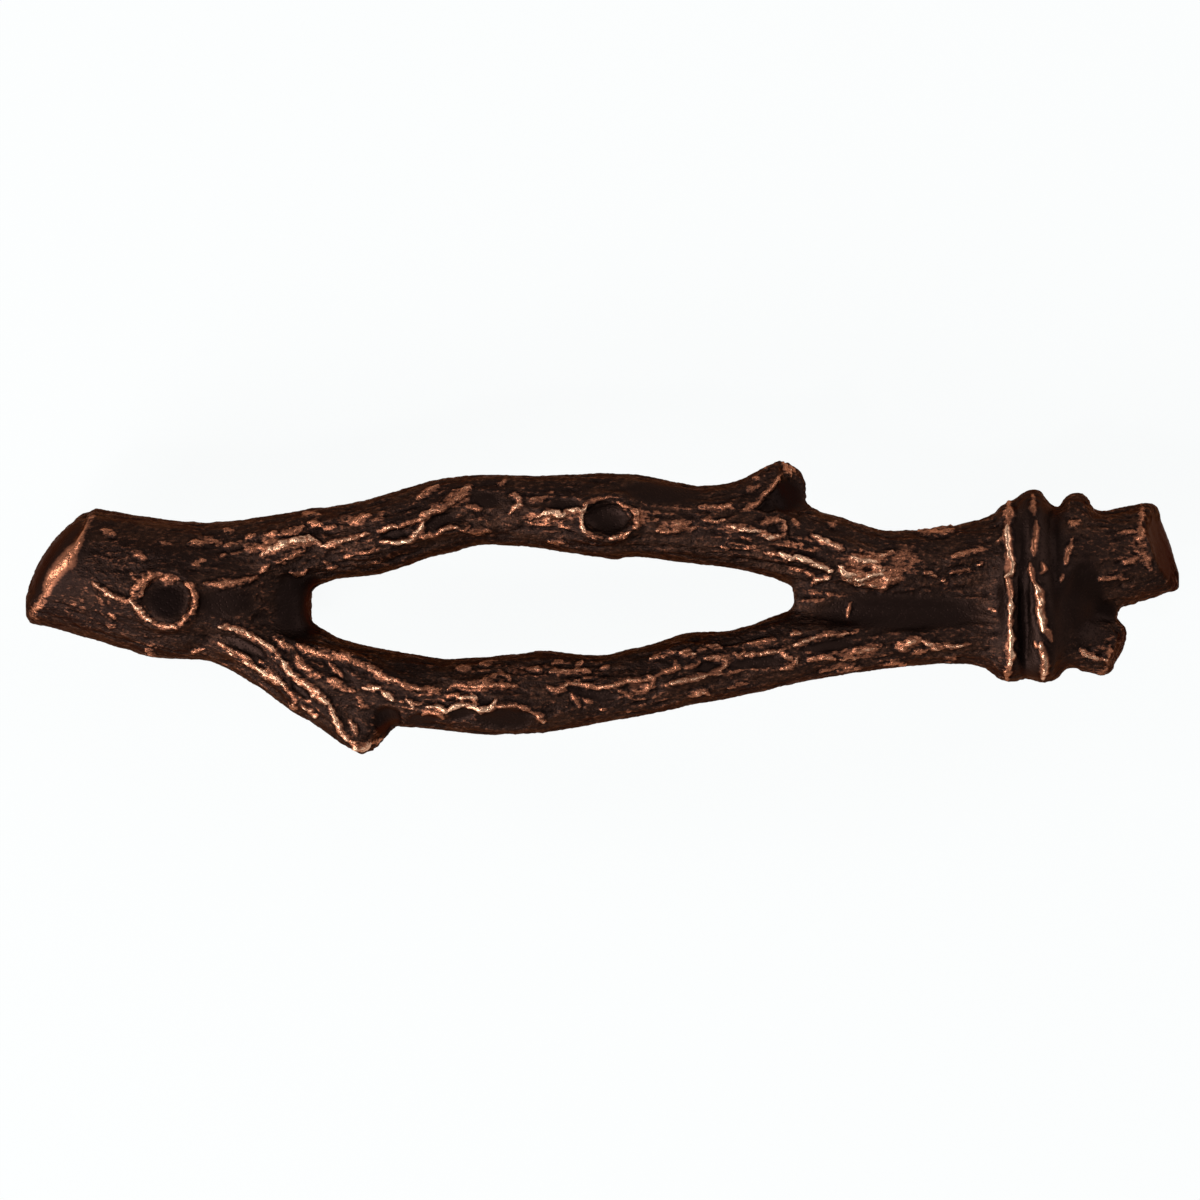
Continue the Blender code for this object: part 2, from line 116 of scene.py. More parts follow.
# Bark ridges by the pixels they are seen at: width, how far they are rubbed bright, points
ridges = [
    # trunk end
    (5, 0.8, [(94, 583), (99, 587), (106, 592), (113, 597)]),
    (4, 0.6, [(112, 596), (121, 601), (131, 602)]),
    (8, 0.5, [(131, 601), (137, 588), (146, 579), (153, 576), (166, 577), (178, 580)]),
    (4.5, 0.75, [(140, 596), (144, 587), (152, 579)]),
    (6, 0.85, [(132, 602), (137, 608), (144, 615), (152, 621)]),
    (4.5, 0.7, [(151, 621), (160, 626), (170, 627), (178, 625), (185, 620)]),
    (6, 0.5, [(184, 621), (191, 614), (195, 605), (195, 595), (191, 587), (186, 584)]),
    (6, 0.4, [(103, 530), (108, 532), (114, 536)]),
    (5, 0.4, [(133, 553), (140, 555), (145, 559)]),
    (4, 0.5, [(131, 574), (137, 580)]),
    (4, 0.45, [(160, 543), (170, 544)]),
    (6, 0.5, [(190, 543), (203, 542), (212, 540), (221, 543)]),
    (4, 0.4, [(192, 565), (200, 562), (206, 561)]),
    (4, 0.4, [(97, 598), (103, 605)]),
    (4, 0.35, [(110, 613), (116, 618)]),
    (5, 0.4, [(108, 624), (116, 627)]),
    (6, 0.5, [(146, 650), (154, 655)]),
    (4, 0.6, [(193, 652), (199, 649), (204, 649)]),
    # upper branch, left half
    (6, 0.55, [(204, 583), (220, 584), (232, 583), (243, 580), (256, 578)]),
    (5, 0.6, [(260, 573), (266, 567), (270, 563)]),
    (6, 0.5, [(277, 563), (286, 559), (296, 555), (305, 551)]),
    (9, 0.85, [(263, 554), (270, 549), (280, 545), (290, 543), (301, 541), (312, 540), (320, 543)]),
    (5.5, 0.68, [(321, 546), (333, 544), (345, 540), (357, 538), (368, 534)]),
    (5, 0.7, [(377, 532), (384, 530), (392, 527), (398, 527)]),
    (5, 0.5, [(398, 527), (408, 523), (418, 520)]),
    (4.5, 0.7, [(380, 542), (387, 542), (394, 542)]),
    (5.5, 1.0, [(392, 543), (400, 543), (409, 540), (416, 535), (421, 529), (424, 521)]),
    (7, 0.58, [(419, 520), (426, 515), (436, 509), (448, 506)]),
    (9, 0.55, [(448, 506), (455, 499), (462, 494), (469, 488)]),
    (5, 0.55, [(418, 498), (426, 494), (434, 489), (438, 485)]),
    (6.5, 0.48, [(350, 523), (357, 521), (363, 517), (370, 516)]),
    (5, 0.45, [(372, 520), (380, 518), (383, 512)]),
    (5.5, 0.45, [(309, 523), (316, 523), (323, 526)]),
    (6, 0.5, [(324, 529), (330, 527), (335, 526)]),
    (4, 0.35, [(303, 514), (312, 513), (320, 515)]),
    (6, 0.5, [(266, 535), (273, 534), (279, 535)]),
    (5, 0.45, [(281, 533), (290, 532), (298, 529), (304, 526)]),
    (5, 0.5, [(262, 546), (268, 542), (274, 540)]),
    (5, 0.45, [(246, 538), (254, 536)]),
    (9, 0.35, [(247, 548), (256, 549), (263, 547)]),
    (5, 0.6, [(292, 573), (297, 576), (303, 574), (306, 570)]),
    (5, 0.55, [(325, 562), (330, 566), (337, 567)]),
    (3.5, 0.5, [(345, 557), (352, 556), (360, 554), (368, 552), (374, 548)]),
    (6, 0.45, [(222, 556), (225, 553)]),
    (5, 0.35, [(224, 531), (233, 531)]),
    (4, 0.3, [(372, 562), (380, 563)]),
    (4, 0.5, [(419, 536), (428, 536), (436, 535)]),
    (4.5, 0.65, [(436, 534), (443, 530), (450, 527), (458, 527)]),
    (4, 0.5, [(460, 530), (467, 530), (470, 526), (466, 524)]),
    (4.5, 0.55, [(468, 532), (478, 532), (486, 531), (491, 532)]),
    (5, 0.5, [(467, 507), (474, 508), (480, 510)]),
    (5, 0.65, [(510, 495), (515, 494), (518, 499), (520, 504), (515, 508), (510, 513)]),
    (6, 0.4, [(499, 484), (504, 481)]),
    (4, 0.55, [(530, 501), (538, 499), (546, 497)]),
    (4, 0.45, [(549, 492), (554, 491)]),
    (4, 0.55, [(524, 518), (531, 515), (540, 516)]),
    (7, 0.95, [(541, 515), (548, 514), (556, 514), (564, 515)]),
    (5, 0.9, [(562, 514), (568, 511), (575, 510), (582, 509)]),
    # knot on the upper branch
    (4, 1.0, [(585, 533), (582, 526), (581, 518), (582, 511), (586, 505)]),
    (3, 0.45, [(584, 505), (592, 500), (600, 498), (610, 498), (617, 498)]),
    (4, 0.5, [(617, 501), (625, 506), (631, 508)]),
    (6, 0.55, [(631, 508), (635, 512), (638, 517), (638, 523), (635, 527)]),
    (3.5, 0.6, [(585, 532), (594, 536), (603, 538)]),
    (4, 0.8, [(609, 538), (617, 537), (625, 535), (630, 531)]),
    # upper branch, right half
    (5, 0.5, [(549, 541), (556, 543), (564, 542)]),
    (5, 0.6, [(657, 530), (665, 526), (675, 524), (690, 523)]),
    (6, 0.55, [(662, 532), (675, 530), (690, 528), (694, 528)]),
    (5, 0.55, [(700, 506), (710, 507), (718, 508), (730, 506), (734, 508)]),
    (5, 0.6, [(702, 519), (710, 520), (718, 521), (724, 520)]),
    (5, 0.9, [(729, 526), (738, 528), (746, 529), (757, 531)]),
    (5, 0.85, [(757, 531), (765, 534), (773, 537), (784, 537)]),
    (5, 0.6, [(784, 537), (785, 529), (784, 521)]),
    (5, 0.55, [(784, 521), (777, 519), (768, 520), (762, 524)]),
    (4, 0.45, [(722, 547), (728, 549)]),
    (4, 0.55, [(745, 549), (755, 548), (760, 550)]),
    (5, 0.8, [(765, 553), (772, 555), (780, 556)]),
    (6, 0.95, [(780, 553), (786, 558), (795, 559)]),
    (5.5, 1.0, [(795, 556), (806, 560), (815, 564), (824, 567), (832, 571)]),
    (3.5, 0.55, [(787, 569), (798, 571), (808, 573), (815, 576)]),
    (5, 0.85, [(812, 584), (816, 580), (824, 579), (829, 578)]),
    (6, 0.8, [(812, 535), (820, 538), (828, 542), (836, 546), (843, 550)]),
    (4, 0.5, [(838, 551), (842, 546)]),
    (6, 0.9, [(852, 556), (860, 559), (868, 560), (875, 559)]),
    (6, 0.65, [(872, 557), (880, 557), (888, 553), (892, 552)]),
    (7, 0.6, [(870, 560), (876, 566), (880, 573)]),
    (9, 1.0, [(841, 568), (847, 573), (854, 577), (861, 580)]),
    (5, 0.9, [(843, 572), (849, 578), (856, 583), (864, 583)]),
    (7, 1.0, [(862, 578), (869, 576), (876, 573), (883, 571)]),
    (5, 1.0, [(878, 570), (883, 575), (886, 580)]),
    (6, 0.55, [(872, 585), (880, 589), (886, 586), (890, 580)]),
    (9, 0.6, [(885, 577), (892, 579), (898, 577)]),
    (5, 0.65, [(925, 573), (931, 574), (936, 577)]),
    (5, 0.6, [(943, 580), (947, 584)]),
    (4, 0.55, [(950, 573), (958, 572), (966, 571), (974, 571)]),
    (4.5, 0.5, [(953, 557), (962, 554), (970, 551), (978, 549), (988, 550)]),
    (5, 0.6, [(978, 565), (983, 563)]),
    (8, 0.3, [(920, 530), (940, 532), (952, 530)]),
    (3, 0.6, [(851, 602), (849, 607), (847, 617)]),
    # upper stub
    (4.5, 0.5, [(755, 506), (762, 498), (768, 490), (775, 484), (780, 476)]),
    (5, 0.5, [(741, 510), (750, 507), (756, 503)]),
    (6, 0.65, [(783, 463), (788, 470), (791, 476)]),
    (5, 0.5, [(755, 478), (759, 478)]),
    (5, 0.45, [(748, 490), (755, 487), (759, 485)]),
    (5, 0.35, [(760, 466), (768, 468)]),
    (4, 0.45, [(793, 520), (797, 525), (800, 527)]),
    (4, 0.4, [(826, 522), (833, 525), (836, 521)]),
    # lower stub
    (4.5, 0.85, [(219, 627), (227, 627), (236, 629), (244, 632), (252, 636), (260, 640), (268, 646),
                 (275, 652), (281, 659)]),
    (6, 0.95, [(281, 659), (285, 666), (291, 674), (299, 680), (308, 687), (316, 693), (323, 699),
               (331, 706)]),
    (5, 0.85, [(331, 706), (333, 714), (337, 724), (341, 731), (347, 738), (354, 745), (360, 750)]),
    (7, 1.0, [(354, 747), (360, 748), (365, 746), (369, 742)]),
    (4, 0.6, [(369, 745), (376, 742), (381, 739)]),
    (4, 0.85, [(217, 642), (225, 648), (233, 652), (242, 655), (251, 660)]),
    (5, 0.7, [(244, 660), (251, 664), (258, 668)]),
    (6.5, 0.9, [(257, 667), (263, 671), (270, 675), (278, 679), (284, 684)]),
    (4, 0.5, [(284, 684), (287, 690), (291, 695), (296, 702)]),
    (6, 0.6, [(290, 704), (296, 708)]),
    (4, 0.8, [(303, 706), (310, 711), (317, 716)]),
    (5, 0.85, [(350, 720), (354, 727), (357, 734)]),
    (7, 0.6, [(274, 637), (282, 642), (288, 646), (292, 647)]),
    (7, 0.52, [(297, 645), (306, 649), (314, 651), (323, 653), (332, 656), (341, 656), (352, 660),
              (360, 664)]),
    (6, 0.65, [(360, 664), (368, 666), (375, 671), (382, 677), (388, 680), (397, 681)]),
    (5, 0.55, [(397, 681), (405, 686), (413, 688), (425, 690), (440, 692)]),
    (6, 0.55, [(297, 655), (300, 663), (305, 668), (312, 674), (321, 677)]),
    (6, 0.55, [(327, 680), (335, 682), (343, 687), (353, 692)]),
    (4.5, 0.6, [(329, 663), (334, 668), (339, 673), (343, 677)]),
    (5, 0.95, [(363, 688), (371, 688), (380, 689)]),
    (7, 1.0, [(383, 692), (389, 696), (394, 700)]),
    (4, 0.5, [(357, 698), (362, 706), (367, 708)]),
    # lower branch, left half
    (5, 0.9, [(406, 699), (411, 702), (413, 707)]),
    (4, 0.7, [(412, 703), (421, 704)]),
    (5, 0.5, [(423, 714), (430, 711), (438, 712), (443, 717)]),
    (5, 0.9, [(428, 706), (436, 706), (442, 709), (446, 712)]),
    (4.5, 1.0, [(447, 712), (452, 708), (460, 705), (468, 704), (475, 707), (479, 711)]),
    (5.5, 1.0, [(476, 708), (482, 710), (489, 709), (494, 705), (496, 700)]),
    (3.5, 0.6, [(495, 706), (503, 706), (512, 705), (520, 706)]),
    (5, 0.6, [(520, 706), (526, 709), (533, 713)]),
    (7, 0.6, [(535, 714), (541, 717), (543, 721)]),
    (5, 0.95, [(458, 698), (466, 698), (474, 698)]),
    (4.5, 0.95, [(472, 693), (475, 699), (476, 706)]),
    (4, 0.55, [(448, 690), (452, 686), (458, 684)]),
    (4, 0.45, [(447, 698), (455, 694), (460, 697)]),
    (8, 0.5, [(463, 686), (475, 686), (487, 685), (500, 685), (515, 687)]),
    (4.5, 0.5, [(482, 679), (490, 677), (500, 673), (508, 676), (510, 680)]),
    (5, 0.45, [(456, 670), (463, 668), (470, 669)]),
    (4, 0.3, [(480, 664), (492, 662)]),
    (6, 0.55, [(530, 670), (536, 669), (541, 672)]),
    (5, 0.6, [(550, 672), (560, 672), (570, 673), (580, 671), (590, 671)]),
    (4.5, 0.55, [(575, 671), (579, 665), (582, 662)]),
    (4, 0.4, [(553, 663), (558, 661), (563, 662)]),
    (6, 0.55, [(602, 668), (608, 666)]),
    (6, 0.6, [(548, 687), (555, 690), (562, 688), (567, 684)]),
    # lower branch, middle
    (4.5, 0.6, [(567, 684), (578, 683), (588, 686), (597, 687), (608, 686), (620, 683), (632, 681),
                (644, 680), (655, 677)]),
    (5, 0.5, [(571, 694), (577, 701), (579, 706)]),
    (3.5, 0.4, [(583, 699), (592, 703)]),
    (6, 0.55, [(655, 677), (651, 686), (645, 691), (638, 693)]),
    (5, 0.45, [(620, 692), (630, 695), (638, 692)]),
    (5, 0.5, [(655, 677), (664, 672), (672, 670), (677, 666), (675, 661)]),
    (4.5, 0.65, [(650, 659), (657, 656), (666, 654), (676, 652)]),
    (6, 0.7, [(681, 654), (687, 653), (695, 655)]),
    (6, 0.5, [(699, 651), (704, 650)]),
    (5, 0.5, [(708, 646), (717, 645), (722, 648)]),
    (5, 0.6, [(686, 667), (693, 666), (700, 663)]),
    (4.5, 0.65, [(706, 659), (714, 658), (722, 658), (728, 656)]),
    (5, 0.65, [(722, 658), (727, 662), (723, 668), (717, 672), (708, 674)]),
    (5, 0.75, [(708, 674), (698, 677), (688, 679), (677, 681), (671, 682)]),
    (6, 0.6, [(688, 695), (697, 693), (703, 690), (708, 694)]),
    (4, 0.55, [(735, 653), (742, 657), (744, 650)]),
    (4.5, 0.75, [(745, 656), (757, 654), (770, 653), (780, 652)]),
    (4.5, 0.5, [(748, 643), (757, 643), (766, 640), (775, 639)]),
    (3.5, 0.5, [(728, 688), (738, 685), (748, 684)]),
    (3, 0.5, [(752, 669), (758, 670)]),
    (3, 0.5, [(763, 670), (768, 668)]),
    (5, 0.4, [(627, 712), (630, 711)]),
    (4, 0.4, [(601, 709), (606, 709)]),
    # lower branch, right half
    (4.5, 0.6, [(777, 651), (783, 652), (788, 657), (795, 661)]),
    (5, 0.95, [(796, 659), (797, 663)]),
    (5, 0.55, [(795, 663), (788, 667), (781, 669)]),
    (5, 0.6, [(791, 635), (795, 632), (800, 634)]),
    (5, 0.75, [(794, 646), (800, 644), (807, 641), (813, 638), (820, 636)]),
    (5, 0.65, [(813, 637), (825, 635), (835, 634), (848, 633)]),
    (4, 0.5, [(850, 633), (858, 630)]),
    (5, 0.55, [(808, 660), (816, 658), (825, 656), (835, 659)]),
    (7, 0.6, [(843, 659), (852, 656), (860, 652), (868, 650), (875, 646), (881, 645)]),
    (6, 0.65, [(896, 647), (902, 648), (908, 644), (915, 640), (920, 638)]),
    (5, 0.75, [(922, 641), (930, 645), (934, 648), (945, 646), (955, 646), (962, 645)]),
    (3, 0.45, [(964, 644), (972, 643)]),
    (4, 0.5, [(912, 653), (920, 652), (927, 650)]),
    (5, 0.5, [(820, 673), (830, 670), (840, 668), (850, 667), (860, 666)]),
    (5, 0.4, [(885, 664), (895, 662), (905, 664)]),
    (5, 0.4, [(945, 659), (955, 659)]),
    (3.5, 0.6, [(989, 609), (992, 610), (996, 610)]),
    # bindings
    (7, 0.45, [(1009, 502), (1009, 512), (1008, 525)]),
    (7, 0.95, [(1007, 526), (1008, 536), (1008, 548)]),
    (5.5, 0.95, [(1009, 547), (1010, 556), (1013, 565), (1011, 573), (1006, 576)]),
    (4.5, 0.7, [(1007, 576), (1009, 584), (1011, 592), (1012, 600)]),
    (5.5, 1.0, [(1011, 599), (1011, 607), (1011, 614)]),
    (4, 0.8, [(1010, 613), (1010, 621), (1010, 630)]),
    (6.5, 0.95, [(1010, 630), (1012, 638), (1011, 646)]),
    (7, 1.0, [(1011, 647), (1012, 655), (1010, 664)]),
    (6, 0.5, [(1011, 661), (1008, 670), (1007, 679)]),
    (5, 0.4, [(1033, 495), (1033, 505), (1034, 515)]),
    (5, 0.5, [(1036, 522), (1036, 533), (1034, 545), (1034, 555)]),
    (4.5, 0.5, [(1030, 563), (1031, 575), (1035, 583)]),
    (5, 0.5, [(1042, 563), (1045, 570), (1041, 573)]),
    (6.5, 0.92, [(1036, 585), (1039, 592), (1041, 602), (1040, 612), (1042, 622), (1044, 632)]),
    (6, 0.5, [(1047, 628), (1050, 636), (1052, 640)]),
    (6, 0.85, [(1041, 643), (1043, 652), (1046, 662), (1044, 672), (1043, 679)]),
    (3.5, 0.6, [(1035, 641), (1036, 647), (1040, 647)]),
    (6, 0.45, [(1069, 521), (1075, 524), (1079, 522)]),
    (4.5, 0.6, [(1072, 540), (1069, 549), (1067, 557), (1066, 564)]),
    (4.5, 0.55, [(1063, 575), (1061, 581)]),
    (4, 0.6, [(998, 541), (1003, 537)]),
    # large sawn twig
    (7, 0.5, [(1140, 524), (1141, 533), (1140, 541)]),
    (5, 0.3, [(1141, 506), (1142, 515), (1141, 523)]),
    (6, 0.45, [(1137, 551), (1143, 556), (1147, 562), (1150, 569)]),
    (4.5, 0.3, [(1119, 533), (1127, 532), (1134, 531)]),
    (5, 0.5, [(1119, 558), (1126, 561), (1132, 561), (1135, 558)]),
    (4, 0.35, [(1098, 583), (1100, 579), (1112, 578), (1118, 577), (1128, 580)]),
    # small sawn twig
    (4.5, 0.75, [(1080, 650), (1087, 655), (1095, 657), (1103, 659), (1107, 661)]),
]

# Edges rubbed bright without a ridge of their own: width, how far they are rubbed, points
rubbedEdges = [
    (6, 0.2, [(95, 513), (88, 521), (83, 532)]),
    (7, 0.7, [(83, 531), (79, 542), (74, 551), (69, 559)]),
    (11, 1.0, [(71, 552), (65, 560), (59, 569), (52, 578), (47, 587)]),
    (6, 0.45, [(53, 583), (46, 593), (39, 604), (32, 616)]),
    (5, 0.3, [(30, 612), (31, 618), (38, 622), (48, 624)]),
    (5, 0.5, [(1110, 646), (1109, 652), (1108, 657)]),
    (5, 0.55, [(1116, 648), (1113, 655), (1110, 664), (1105, 672)]),
    (5, 0.45, [(1092, 671), (1098, 673), (1105, 673)]),
    (5, 0.35, [(783, 462), (790, 465), (796, 471)]),
]

# Narrow dark cracks: width and points
cracks = [
    (3, [(519, 527), (532, 528), (545, 528), (557, 529), (567, 531), (576, 536)]),
    (3, [(788, 520), (789, 530), (791, 541)]),
    (3, [(263, 600), (259, 596), (257, 600)]),
]

# Patches rubbed grainy: centre, half width, half height, strength
grainy = [
    (100, 606, 40, 26, 0.30),
    (118, 555, 26, 22, 0.28),
    (150, 640, 14, 12, 0.40),
    (235, 545, 28, 10, 0.40),
    (315, 530, 40, 12, 0.45),
    (360, 545, 50, 14, 0.30),
    (395, 560, 30, 10, 0.25),
    (450, 510, 50, 26, 0.30),
    (550, 520, 28, 10, 0.75),
    (535, 498, 30, 12, 0.35),
    (640, 515, 34, 16, 0.40),
    (690, 520, 40, 18, 0.30),
    (730, 542, 24, 12, 0.60),
    (790, 550, 30, 14, 0.50),
    (820, 598, 24, 10, 0.50),
    (860, 568, 34, 20, 0.65),
    (908, 560, 20, 18, 0.45),
    (935, 530, 30, 8, 0.30),
    (965, 560, 24, 16, 0.30),
    (250, 660, 34, 16, 0.45),
    (310, 700, 26, 16, 0.35),
    (330, 665, 50, 20, 0.35),
    (440, 700, 50, 16, 0.45),
    (490, 675, 40, 16, 0.45),
    (570, 672, 40, 16, 0.42),
    (640, 690, 44, 18, 0.35),
    (720, 660, 50, 20, 0.40),
    (800, 650, 40, 16, 0.40),
    (870, 652, 50, 12, 0.35),
    (1010, 560, 8, 60, 0.25),
    (1125, 550, 20, 22, 0.25),
    (1100, 650, 20, 12, 0.25),
]

# Broad patches rubbed to the copper: centre, half width, half height, strength
bared = [
    (70, 558, 8, 14, 0.60),
    (255, 547, 12, 5, 0.45),
    (352, 520, 16, 6, 0.45),
    (457, 499, 14, 9, 0.50),
    (548, 518, 28, 6, 0.55),
    (640, 517, 9, 10, 0.65),
    (672, 529, 20, 6, 0.50),
    (735, 528, 16, 5, 0.50),
    (864, 560, 26, 9, 0.60),
    (854, 576, 14, 8, 0.95),
    (876, 574, 9, 5, 0.85),
    (870, 580, 24, 9, 0.75),
    (890, 575, 16, 10, 0.62),
    (906, 561, 16, 13, 0.48),
    (640, 688, 14, 6, 0.35),
    (520, 670, 10, 5, 0.35),
    (480, 686, 34, 6, 0.50),
    (855, 654, 24, 6, 0.50),
    (908, 644, 14, 5, 0.55),
    (1009, 560, 5, 40, 0.45),
    (1010, 650, 5, 24, 0.50),
    (1140, 545, 8, 22, 0.40),
]

# Swells and pares that bring the outline to the real one: centre, half width, half height, mm
outlineSwells = [
    (30, 612, 16, 16, 0.25),
    (87, 515, 9, 7, 0.55),
    (100, 510, 14, 5, 0.14),
    (100, 642, 45, 10, -0.07),
    (205, 660, 16, 8, -0.14),
    (350, 503, 24, 8, -0.12),
    (125, 514, 30, 8, 0.12),
    (206, 523, 30, 8, 0.28),
    (300, 508, 30, 8, 0.08),
    (395, 490, 30, 8, -0.10),
    (28, 613, 8, 10, 0.15),
    (148, 656, 16, 6, -0.14),
    (340, 738, 20, 12, 0.10),
    (300, 713, 25, 10, 0.08),
    (313, 602, 5, 20, 0.10),
    (316, 588, 9, 8, 0.85),
    (320, 630, 12, 9, 1.10),
    (791, 590, 6, 7, 0.42),
    (786, 612, 8, 5, 0.22),
    (505, 546, 36, 6, 0.12),
    (465, 550, 12, 6, 0.08),
    (720, 566, 24, 6, 0.12),
    (685, 635, 24, 6, 0.20),
    (470, 658, 20, 6, 0.08),
    (560, 476, 28, 6, 0.06),
    (733, 629, 14, 6, 0.12),
    (580, 654, 24, 6, 0.08),
    (670, 709, 50, 6, 0.10),
    (745, 696, 30, 6, -0.10),
    (905, 668, 60, 6, 0.10),
    (733, 484, 14, 6, 0.20),
    (791, 465, 8, 8, -0.25),
    (804, 482, 6, 8, 0.12),
    (818, 511, 14, 6, -0.12),
    (640, 476, 30, 6, 0.10),
    (680, 484, 16, 6, 0.08),
    (905, 531, 40, 6, 0.12),
    (1005, 502, 6, 6, -0.16),
    (1020, 495, 10, 6, 0.15),
    (1046, 500, 6, 8, -0.26),
    (1063, 499, 5, 7, 0.14),
    (1093, 503, 7, 8, -0.22),
    (1101, 511, 8, 5, -0.22),
    (1130, 508, 11, 5, 0.14),
    (1168, 540, 6, 22, 0.10),
    (1128, 630, 6, 9, -0.12),
    (1050, 682, 8, 5, -0.12),
    (368, 752, 10, 8, 0.10),
    (1154, 509, 10, 11, 0.80),
    (1178, 578, 8, 16, 0.25),
    (1170, 595, 12, 6, -0.44),
    (1130, 603, 14, 5, 0.12),
    (1118, 611, 7, 7, -0.36),
    (1109, 670, 9, 10, 0.45),
    (1065, 669, 8, 6, -0.20),
    (1008, 682, 12, 6, -0.30),
    (170, 653, 36, 12, 0.56),
    (120, 645, 26, 10, 0.20),
    (225, 670, 25, 12, -0.35),
    (290, 705, 45, 14, 0.12),
    (345, 745, 20, 14, 0.15),
    (455, 551, 26, 8, 0.22),
    (600, 474, 60, 8, 0.15),
    (615, 557, 11, 6, 0.28),
    (758, 473, 24, 12, 0.12),
    (802, 492, 12, 26, 0.70),
    (808, 508, 10, 10, 0.35),
    (560, 652, 34, 7, 0.20),
    (608, 654, 10, 5, -0.15),
    (650, 711, 60, 8, 0.10),
    (485, 733, 34, 7, 0.12),
    (850, 673, 60, 8, 0.10),
    (993, 511, 14, 12, 0.54),
    (992, 671, 14, 12, 0.58),
    (1021, 676, 12, 12, 0.70),
    (1042, 681, 10, 6, -0.20),
    (1088, 503, 8, 8, 0.20),
    (1103, 510, 14, 6, -0.15),
    (1172, 550, 14, 60, 0.55),
    (1116, 612, 12, 12, 0.45),
    (1121, 650, 14, 28, 0.35),
    (1095, 673, 14, 6, 0.20),
]

# Smooth hollows and plates, kept dark in colour as smoother patina and painted shade: centre, half
# width, half height, turn in degrees, depth in mm
smoothed = [
    (900, 612, 95, 20, 0, 0.20),
    (300, 605, 30, 38, 0, 0.25),
    (225, 603, 34, 14, 0, 0.10),
    (167, 601, 22, 20, 0, 0.0),
    (607, 518, 23, 15, 0, 0.0),
    (461, 714, 13, 7, 0, 0.16),
    (488, 704, 9, 8, 0, 0.12),
    (507, 719, 30, 11, 0, 0.16),
    (423, 719, 16, 6, 0, 0.10),
    (395, 535, 16, 6, -8, 0.16),
    (440, 522, 20, 6, -25, 0.12),
    (485, 500, 20, 10, 0, 0.08),
    (565, 504, 18, 6, 0, 0.14),
    (660, 493, 40, 12, 5, 0.06),
    (788, 495, 21, 19, 0, 0.42),
    (775, 504, 23, 7, -8, 0.28),
    (773, 529, 7, 5, 0, 0.14),
    (708, 667, 16, 6, -12, 0.14),
    (633, 687, 15, 4, -6, 0.12),
    (595, 694, 26, 6, 8, 0.12),
    (760, 662, 30, 6, -4, 0.12),
    (830, 646, 26, 6, -8, 0.12),
    (300, 690, 14, 5, 42, 0.12),
    (245, 646, 26, 6, 25, 0.14),
    (388, 722, 15, 17, 0, 0.35),
    (345, 676, 12, 6, 30, 0.08),
    (1024, 600, 6, 90, 0, 0.12),
    (1054, 545, 6, 45, 0, 0.08),
    (1085, 600, 22, 50, 0, 0.05),
    (1162, 548, 10, 38, -15, 0.10),
    (1036, 590, 44, 108, 0, 0.0),
    (1106, 612, 14, 12, 0, 0.0),
    (60, 560, 22, 50, 35, 0.0),
]

# Places painted darker towards the Deep colour, partly patina kept in hollows and partly painted
# shade in recesses and on flanks the lamps light: centre, half width, half height, strength
darkPatinaAndShade = [
    (167, 602, 20, 19, 0.85),
    (300, 605, 28, 36, 0.60),
    (225, 603, 34, 12, 0.30),
    (607, 518, 22, 15, 0.35),
    (788, 495, 19, 18, 0.95),
    (774, 503, 21, 6, 0.80),
    (773, 529, 7, 5, 0.50),
    (379, 722, 13, 18, 0.55),
    (905, 614, 88, 18, 0.35),
    (461, 714, 13, 7, 0.30),
    (507, 719, 30, 11, 0.30),
    (395, 535, 16, 6, 0.35),
    (245, 646, 26, 5, 0.30),
    (1024, 600, 6, 90, 0.75),
    (1056, 560, 6, 60, 0.60),
    (1085, 600, 22, 46, 0.35),
    (1106, 612, 12, 12, 0.60),
    (1165, 548, 9, 36, 0.40),
    (107, 545, 30, 12, 0.30),
    (85, 612, 50, 22, 0.50),
    (110, 585, 95, 60, 0.36),
    (170, 643, 60, 12, 0.35),
    (290, 730, 60, 10, 0.25),
    (1180, 550, 16, 60, 0.75),
    (1126, 640, 10, 30, 0.60),
    (40, 570, 18, 60, 0.40),
]

# Places where the casting is blended softer: centre, half width, half height, passes
softened = [
    (988, 590, 17, 110, 200),
    (1021, 672, 14, 16, 80),
    (787, 497, 22, 28, 50),
    (385, 728, 20, 20, 30),
    (388, 716, 15, 14, 90),
    (60, 560, 40, 60, 14),
    (64, 562, 18, 34, 70),
    (1150, 550, 20, 50, 24),
    (1105, 660, 24, 24, 10),
    (300, 605, 20, 34, 60),
    (314, 584, 12, 12, 240),
    (318, 628, 14, 14, 240),
    (791, 588, 9, 10, 120),
    (790, 611, 9, 9, 120),
]

# Middle lines of the limbs, in mm, for the run of the bark
limbLines = [
    [(-66, 5.4), (-51, 4.0), (-42, 4.6), (-35.8, 6.1), (-25.1, 8.1), (-19.5, 9.9), (-14.4, 10.9),
     (-0.3, 10.2), (9.8, 9.3), (20.5, 7.4), (31.2, 4.5), (44.7, 5.3), (66, 8)],
    [(-66, 3), (-51, -0.1), (-45.3, -1.2)],
    [(-34.1, -6.4), (-28.5, -8.2), (-17.8, -9.8), (-7.1, -9.6), (5.3, -8.1), (21, -4.7),
     (34.5, -3.0), (49.2, -1.7), (61, -6.2)],
    [(-44.8, -1.9), (-40.3, -4.4), (-34.6, -8.2), (-28.2, -12.8), (-24.3, -15.7)],
    [(13.7, 10.0), (17.7, 12.1), (22.9, 15.2)],
]


# A smooth step from 0 at low to 1 at high
def spread(values, low, high):
    share = np.clip((values - low) / (high - low), 0, 1)
    return share * share * (3 - 2 * share)


# 1 on the front of the casting and 0 on its back, by height over the drawer face
def frontShare(points):
    return spread(points[:, 2], *bark["frontHeights"])


# Noise of about -1 to 1 at each point, with so many lumps to a metre
def noiseOver(points, scale, seed):
    places = (points * scale + seed).tolist()
    return np.array([noise.noise(place) for place in places])


